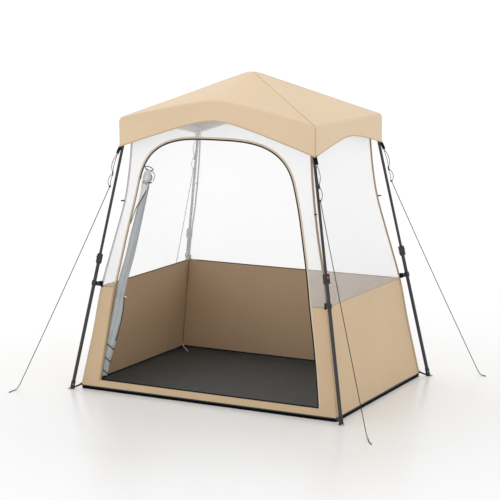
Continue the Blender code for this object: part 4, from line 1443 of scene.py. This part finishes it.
def build_body_toggles():
    """A short elastic loop with a toggle on each wall corner, and a tab at each corner of the base."""
    piece = Piece("wall_toggles")
    for corner in CORNER_SIGNS:
        place, out = corner_frame(corner, TOGGLE_HEIGHT)
        side = out.cross(UP)
        loop = ring_loop(place + out * WALL_LOOP_REACH, out, UP, WALL_LOOP_REACH, 0.004, 14)
        piece.cord(loop, DARK_CORD, WALL_LOOP_RADIUS, 6, closed=True)
        middle = place + out * WALL_TOGGLE_REACH
        bar = smooth_line([middle + side * s * 0.012 + UP * (0.001 * s * s) for s in spaced(-1, 1, 4)], 3)
        scales = [0.6 + 0.5 * math.sin(math.pi * n / (len(bar) - 1)) for n in range(len(bar))]
        piece.cord(bar, PLASTIC, WALL_TOGGLE_RADIUS, 8, scales=scales)
        stub = [place + out * d for d in spaced(0.0, 0.024, 4)]
        piece.strap(stub, WEBBING, 0.009, 0.002, UP)
    drop(piece.build("tent_body"))
    piece = Piece("base_tabs")
    for corner in CORNER_SIGNS:
        place, out = corner_frame(corner, WALL_FOOT + 0.004)
        lines = [place - out * 0.002, place + out * 0.006, place + out * 0.013 - UP * 0.002]
        path = smooth_line(lines, 3)
        scales = [1.0 - 0.7 * n / (len(path) - 1) for n in range(len(path))]
        piece.strap(path, CORNER_TAPE, BASE_TAB_WIDTH, BASE_TAB_THICKNESS, UP, scales=scales)
    piece.build("tent_body")


def leg_axis(corner):
    """The leg's point on the ground, its direction upwards and the level direction outwards."""
    ends = []
    for part in ("lower", "upper"):
        low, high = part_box(f"{part}_leg_{corner}")
        ends.append((low + high) / 2)
    bottom, top = ends
    up = (top - bottom).normalized()
    foot = bottom - up * (bottom.z / up.z)
    return foot, up, Vector((foot.x, foot.y, 0)).normalized()


def at_leg(corner, height):
    foot, up, _ = leg_axis(corner)
    return foot + up * (height / up.z)


def build_leg_straps():
    """At each leg: a metal ring on the clip and a webbing strap from it to the wall's corner."""
    for corner in CORNER_SIGNS:
        clip_low, clip_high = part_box(f"leg_clip_{corner}")
        _, up, _ = leg_axis(corner)
        leg = at_leg(corner, (clip_low.z + clip_high.z) / 2)
        wall, _ = corner_frame(corner, TAN_TOP + STRAP_LIFT)
        inwards = (wall - leg).normalized()
        side = inwards.cross(up).normalized()
        piece = Piece(f"leg_strap_{corner}")
        d_ring = ring_loop(leg + inwards * D_RING_REACH, inwards, up, *D_RING_HALF)
        piece.cord(d_ring, METAL, D_RING_RADIUS, 8, closed=True)
        start, end = leg + inwards * 0.034, wall + inwards * 0.001
        for lift in (-STRAP_SPREAD, STRAP_SPREAD):
            line = [start + side * lift * 0.4, start.lerp(end, 0.4) + side * lift, end + side * lift * 0.5]
            line = smooth_line(line, 6)
            piece.strap(line, WEBBING, STRAP_WIDTH, WEBBING_THICKNESS, up)
        cuff = ring_loop(start - inwards * 0.003, side, inwards, 0.0038, 0.003, 12)
        piece.strap(cuff, WEBBING, STRAP_WIDTH, WEBBING_THICKNESS, up, closed=True)
        piece.build(f"leg_{corner}")


def build_strap_patches():
    """A webbing patch where each leg strap is sewn on, wrapped round the wall's corner."""
    piece = Piece("strap_patches")
    height = TAN_TOP + STRAP_LIFT - 0.003
    for sx, sy in CORNER_SIGNS.values():
        half_x, half_y = profile(height)
        path = []
        for angle in spaced(0, math.pi / 2, 4):
            around = Vector((sx * math.sin(angle), sy * math.cos(angle), 0)) * 0.004
            path.append(Vector((sx * (half_x - 0.001), sy * (half_y - 0.001), height)) + around)
        path.insert(0, path[0] - Vector((sx * PATCH_LENGTH, 0, 0)))
        path.append(path[-1] - Vector((0, sy * PATCH_LENGTH, 0)))
        piece.strap(path, WEBBING, PATCH_HEIGHT, PATCH_THICKNESS, UP)
    drop(piece.build("tent_body"))


def build_feet():
    """Pin and pale pad on each foot, and the strap from the base's corner to it."""
    cords = Piece("foot_straps")
    for corner in CORNER_SIGNS:
        _, _, out = leg_axis(corner)
        side = out.cross(UP)
        piece = Piece(f"foot_pin_{corner}")
        centre = at_leg(corner, FOOT_PIN_HEIGHT)
        pin = [centre + side * s for s in spaced(-FOOT_PIN_HALF, FOOT_PIN_HALF, 8)]
        scales = [1.7 if n in (0, 8) else 1.0 for n in range(9)]
        piece.cord(pin, METAL, FOOT_PIN_RADIUS, scales=scales)
        sole = at_leg(corner, PAD_HEIGHT)
        pad = [sole + out * reach for reach in spaced(*PAD_REACH, 4)]
        piece.strap(pad, PAD_PLASTIC, PAD_WIDTH, PAD_THICKNESS, side, scales=(1.0, 1.0, 0.95, 0.85, 0.6))
        piece.build(f"lower_leg_{corner}")
        wall, _ = corner_frame(corner, WALL_FOOT + 0.004)
        start = at_leg(corner, 0.009) - out * 0.010
        line = smooth_line([start, start.lerp(wall, 0.5) - UP * 0.001, wall], 8)
        cords.strap(line, BLACK_TAPE, FOOT_STRAP_WIDTH, FOOT_STRAP_THICKNESS, UP)
    cords.build("tent_body")


def guy_geometry(corner):
    """The guy line's top under the canopy's corner, slider, knot, ground point and tail's end."""
    points = node_points(f"guy_line_{corner}")
    heights = points[:, 2]
    top = middle_of(points[heights > heights.max() - 0.004])
    knot = middle_of(points[(heights > 1.0) & (heights < top.z - 0.1)])
    flat = points[heights < 0.03]
    away = np.hypot(flat[:, 0] - top.x, flat[:, 1] - top.y)
    tail = Vector(flat[np.argmax(np.hypot(*(flat[:, :2] - flat[np.argmin(away), :2]).T))])
    ground = middle_of(flat[np.hypot(flat[:, 0] - tail.x, flat[:, 1] - tail.y) > 0.04])
    slider_low, slider_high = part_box(f"guy_slider_{corner}")
    return top, (slider_low + slider_high) / 2, knot, ground, tail


def build_guy_lines():
    for corner in CORNER_SIGNS:
        top, slider, knot, ground, tail = guy_geometry(corner)
        build_guy_rig(corner, top, slider, knot)
        build_guy_cord(corner, knot, ground, tail)


def build_guy_rig(corner, top, slider, knot):
    """Webbing tab, metal eye, two strands to the slider, the loop below it and the knot."""
    along = (knot - top).normalized()
    out = Vector((top.x, top.y, 0)).normalized()
    sx, sy = CORNER_SIGNS[corner]
    side = (along.cross(out) + out * (sx * sy)).normalized()
    rig = Piece(f"guy_rig_{corner}")
    tab_top = top - out * 0.018 + UP * 0.014
    tab_end = top + along * TAB_LENGTH
    for lift in (0.0, 0.0026):
        line = [tab_top + out * lift, tab_top.lerp(tab_end, 0.5) + out * (lift + 0.001), tab_end]
        line = smooth_line(line, 5)
        rig.strap(line, WEBBING, TAB_WIDTH, WEBBING_THICKNESS, side)
    eye = tab_end + along * 0.004
    ring = ring_loop(eye, side, along, EYE_HALF, EYE_HALF)
    rig.cord(ring, METAL, EYE_RADIUS, 8, closed=True)
    for sign in (-1, 1):
        strand = []
        for share in spaced(0, 1, 16):
            spread = STRAND_SPREAD * math.sin(math.pi * min(1, share * 1.1)) ** 0.8 + 0.0016
            bow = out * (RIG_BOW * math.sin(math.pi * share))
            strand.append(eye.lerp(slider, share) + side * (sign * spread) + bow)
        rig.cord(strand, CORD, CORD_RADIUS * 0.8, 8)
    oval = []
    for a in full_turn(32):
        share = 0.5 - 0.5 * math.cos(a)
        bow = out * (RIG_BOW * math.sin(math.pi * share))
        oval.append(slider.lerp(knot, share) + side * (LOOP_SPREAD * math.sin(a)) + bow)
    rig.cord(oval, CORD, CORD_RADIUS * 0.8, 8, closed=True)
    turns = []
    for a in full_turn(40):
        around = side * (KNOT_HALF * math.cos(2 * a)) + out * (KNOT_HALF * math.sin(2 * a))
        turns.append(knot + around + along * (0.004 * math.sin(3 * a)))
    rig.cord(turns, DARK_CORD, CORD_RADIUS, 8, closed=True)
    rig.build(f"leg_{corner}", [f"guy_line_{corner}"])


def build_guy_cord(corner, knot, ground, tail):
    """The long cord: nearly straight from the knot, a soft bend onto the ground, and its sealed end."""
    rest = CORD_RADIUS * 1.3
    ground, tail = (Vector((p.x, p.y, rest)) for p in (ground, tail))
    fall = (knot - ground).normalized()
    lie = (tail - ground).normalized()
    bend = min(GROUND_BEND, 0.45 * (tail - ground).length)
    lift_off = ground + fall * GROUND_BEND
    run = []
    for share in spaced(0, 1, 40):
        run.append(knot.lerp(lift_off, share) - UP * (CORD_SAG * math.sin(math.pi * share)))
    for t in spaced(0, 1, 10)[1:]:
        run.append(lift_off * (1 - t) ** 2 + ground * (2 * t * (1 - t)) + (ground + lie * bend) * t**2)
    across = lie.cross(UP)
    for share in spaced(0, 1, 12)[1:]:
        run.append((ground + lie * bend).lerp(tail, share) + across * (0.004 * math.sin(math.pi * share)))
    line = Piece(f"guy_cord_{corner}")
    line.cord(run, CORD, CORD_RADIUS, 8)
    tip = [run[-1] - lie * 0.010, run[-1] + lie * 0.004]
    line.cord(tip, DARK_CORD, CORD_RADIUS * 1.35, 8)
    thing = line.build(f"leg_{corner}", [f"guy_line_{corner}"])
    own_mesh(thing)


def add_knob(piece, place, along, radius, material):
    """A short bead with rounded ends, stuck through a tie."""
    line = [place + along * d for d in spaced(-0.004, 0.020, 6)]
    piece.cord(line, material, radius, scales=[0.5, 0.9, 1, 1, 1, 0.9, 0.5])


def build_roll_ties():
    """What holds the rolled door: loops at its top, two bands with a knob, a long cord and a toggle."""
    piece = Piece("door_roll_ties")
    top, _ = roll_frame(1.0)
    crown = ring_loop(top + IN_VIEW * 0.004 + UP * 0.010, IN_VIEW - UP * 0.35, UP, 0.027, 0.012, 26)
    piece.cord(crown, DARK_CORD, LOOP_RADIUS, 6, closed=True)
    for material, radius, sags in ((DARK_CORD, LOOP_RADIUS, DARK_HANG), (PALE_CORD, 0.0036, PALE_HANG)):
        hang = smooth_line([top + IN_VIEW * over + UP * under for over, under in sags], 5)
        piece.cord(hang, material, radius, 6)
    for at in TIE_SHARES:
        band = [roll_point(at, a, 0.0010) for a in full_turn(32)]
        piece.strap(band, PALE_CORD, TIE_BAND_WIDTH, BAND_THICKNESS, roll_frame(at)[1], closed=True)
    knob_at = roll_point(TIE_SHARES[0], -0.35, 0.004)
    add_knob(piece, knob_at, IN_VIEW, KNOB_RADIUS, PLASTIC)
    door_side = on_front(door_middle(CORD_END) - door_half_width(CORD_END), CORD_END, -0.004)
    cord = [roll_point(share, angle, 0.005) for share, angle in CORD_CROSSING] + [door_side]
    piece.cord(smooth_line(cord, 8), DARK_CORD, LONG_CORD_RADIUS, 6)
    band = [roll_point(TOGGLE_SHARE, a, 0.0005) for a in full_turn(32)]
    upwards = roll_frame(TOGGLE_SHARE)[1]
    piece.strap(band, ROLL_SCREEN_PAINTED_SHADE, TOGGLE_BAND_WIDTH, BAND_THICKNESS, upwards, closed=True)
    knob_at = roll_point(TOGGLE_SHARE, -0.25, 0.005)
    add_knob(piece, knob_at, Vector((1, -0.1, -0.35)), TOGGLE_RADIUS, TOGGLE_PLASTIC)
    drop(piece.build("tent_body"))
    piece = Piece("floor_corner_cord")
    half_x, half_y = profile(0.05)
    start = Vector((-half_x + 0.012, half_y - 0.022, 0.036))
    reaches = (Vector((0, 0, 0)), Vector((0.030, -0.034, -0.008)), Vector((0.100, -0.100, -0.020)))
    line = smooth_line([start + reach for reach in reaches], 8)
    piece.cord(line, CREAM_CORD, FLOOR_CORD_RADIUS, 8)
    piece.build("tent_body")


# CAD parts that stay


def dress(prefix, material):
    for name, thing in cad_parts.items():
        if name == prefix or any(name == f"{prefix}_{corner}" for corner in CORNER_SIGNS):
            if not thing.material_slots:
                thing.data.materials.append(material)
            for place in thing.material_slots:
                place.material = material


def dress_cad():
    for prefix in ("upper_leg", "lower_leg", "rib"):
        dress(prefix, STEEL)
    for prefix in ("hub", "hub_cap", "elbow", "lock_collar", "leg_clip", "foot", "guy_slider"):
        dress(prefix, PLASTIC)
    for prefix in ("hub_pin", "elbow_pin"):
        dress(prefix, METAL)
    dress("lock_button", RED)


# Stage


def build_stage():
    mesh = bpy.data.meshes.new("studio_floor")
    corners = [(FLOOR_SIZE * x, FLOOR_SIZE * y, 0) for x, y in ((-1, -1), (1, -1), (1, 1), (-1, 1))]
    mesh.from_pydata(corners, [], [(0, 1, 2, 3)])
    floor = bpy.data.objects.new("studio_floor", mesh)
    bpy.context.scene.collection.objects.link(floor)
    n = Nodes("studio_floor")
    inputs = {"Base Color": FLOOR_WHITE, "Roughness": 0.26, "Specular IOR Level": 0.45}
    near = n.put("ShaderNodeBsdfPrincipled", inputs).outputs[0]
    far = n.put("ShaderNodeEmission", {"Color": WHITE, "Strength": SEEN_STRENGTH}).outputs[0]
    away = n.put("ShaderNodeVectorMath", {0: n.place()}, operation="LENGTH").outputs["Value"]
    share = n.span(away, *FLOOR_FADE)
    mesh.materials.append(n.finish(n.put("ShaderNodeMixShader", {0: share, 1: near, 2: far}).outputs[0]))
    world = bpy.data.worlds.new("studio")
    bpy.context.scene.world = world
    world.use_nodes = True
    tree = world.node_tree
    tree.nodes.clear()
    output = tree.nodes.new("ShaderNodeOutputWorld")
    seen, light = tree.nodes.new("ShaderNodeBackground"), tree.nodes.new("ShaderNodeBackground")
    for background, strength in ((seen, SEEN_STRENGTH), (light, LIGHT_STRENGTH)):
        background.inputs[0].default_value = WHITE
        background.inputs[1].default_value = strength
    choose, rays = tree.nodes.new("ShaderNodeMixShader"), tree.nodes.new("ShaderNodeLightPath")
    tree.links.new(rays.outputs["Is Camera Ray"], choose.inputs[0])
    tree.links.new(light.outputs[0], choose.inputs[1])
    tree.links.new(seen.outputs[0], choose.inputs[2])
    tree.links.new(choose.outputs[0], output.inputs[0])
    lamp = bpy.data.lights.new("top_softbox", "AREA")
    lamp.shape = "SQUARE"
    lamp.size = SOFTBOX_SIZE
    lamp.energy = SOFTBOX_POWER
    thing = bpy.data.objects.new("top_softbox", lamp)
    thing.location = SOFTBOX_PLACE
    thing.rotation_euler = (SOFTBOX_AIM - thing.location).to_track_quat("-Z", "Y").to_euler()
    bpy.context.scene.collection.objects.link(thing)
    bpy.context.scene.view_settings.view_transform = "Standard"


def build_camera():
    data = bpy.data.cameras.new("camera")
    data.sensor_width = CAMERA_SENSOR
    data.lens = CAMERA_LENS
    camera = bpy.data.objects.new("camera", data)
    camera.location = CAMERA_PLACE
    camera.rotation_euler = [math.radians(angle) for angle in CAMERA_TURN]
    bpy.context.scene.collection.objects.link(camera)
    bpy.context.scene.camera = camera


dress_cad()
build_canopy()
build_canopy_seams()
build_lower_walls()
build_screen_walls()
build_door_edge()
build_wall_tapes()
build_base_binding()
build_floor()
build_door_roll()
build_roll_ties()
build_body_toggles()
build_leg_straps()
build_strap_patches()
build_feet()
build_guy_lines()
build_stage()
build_camera()
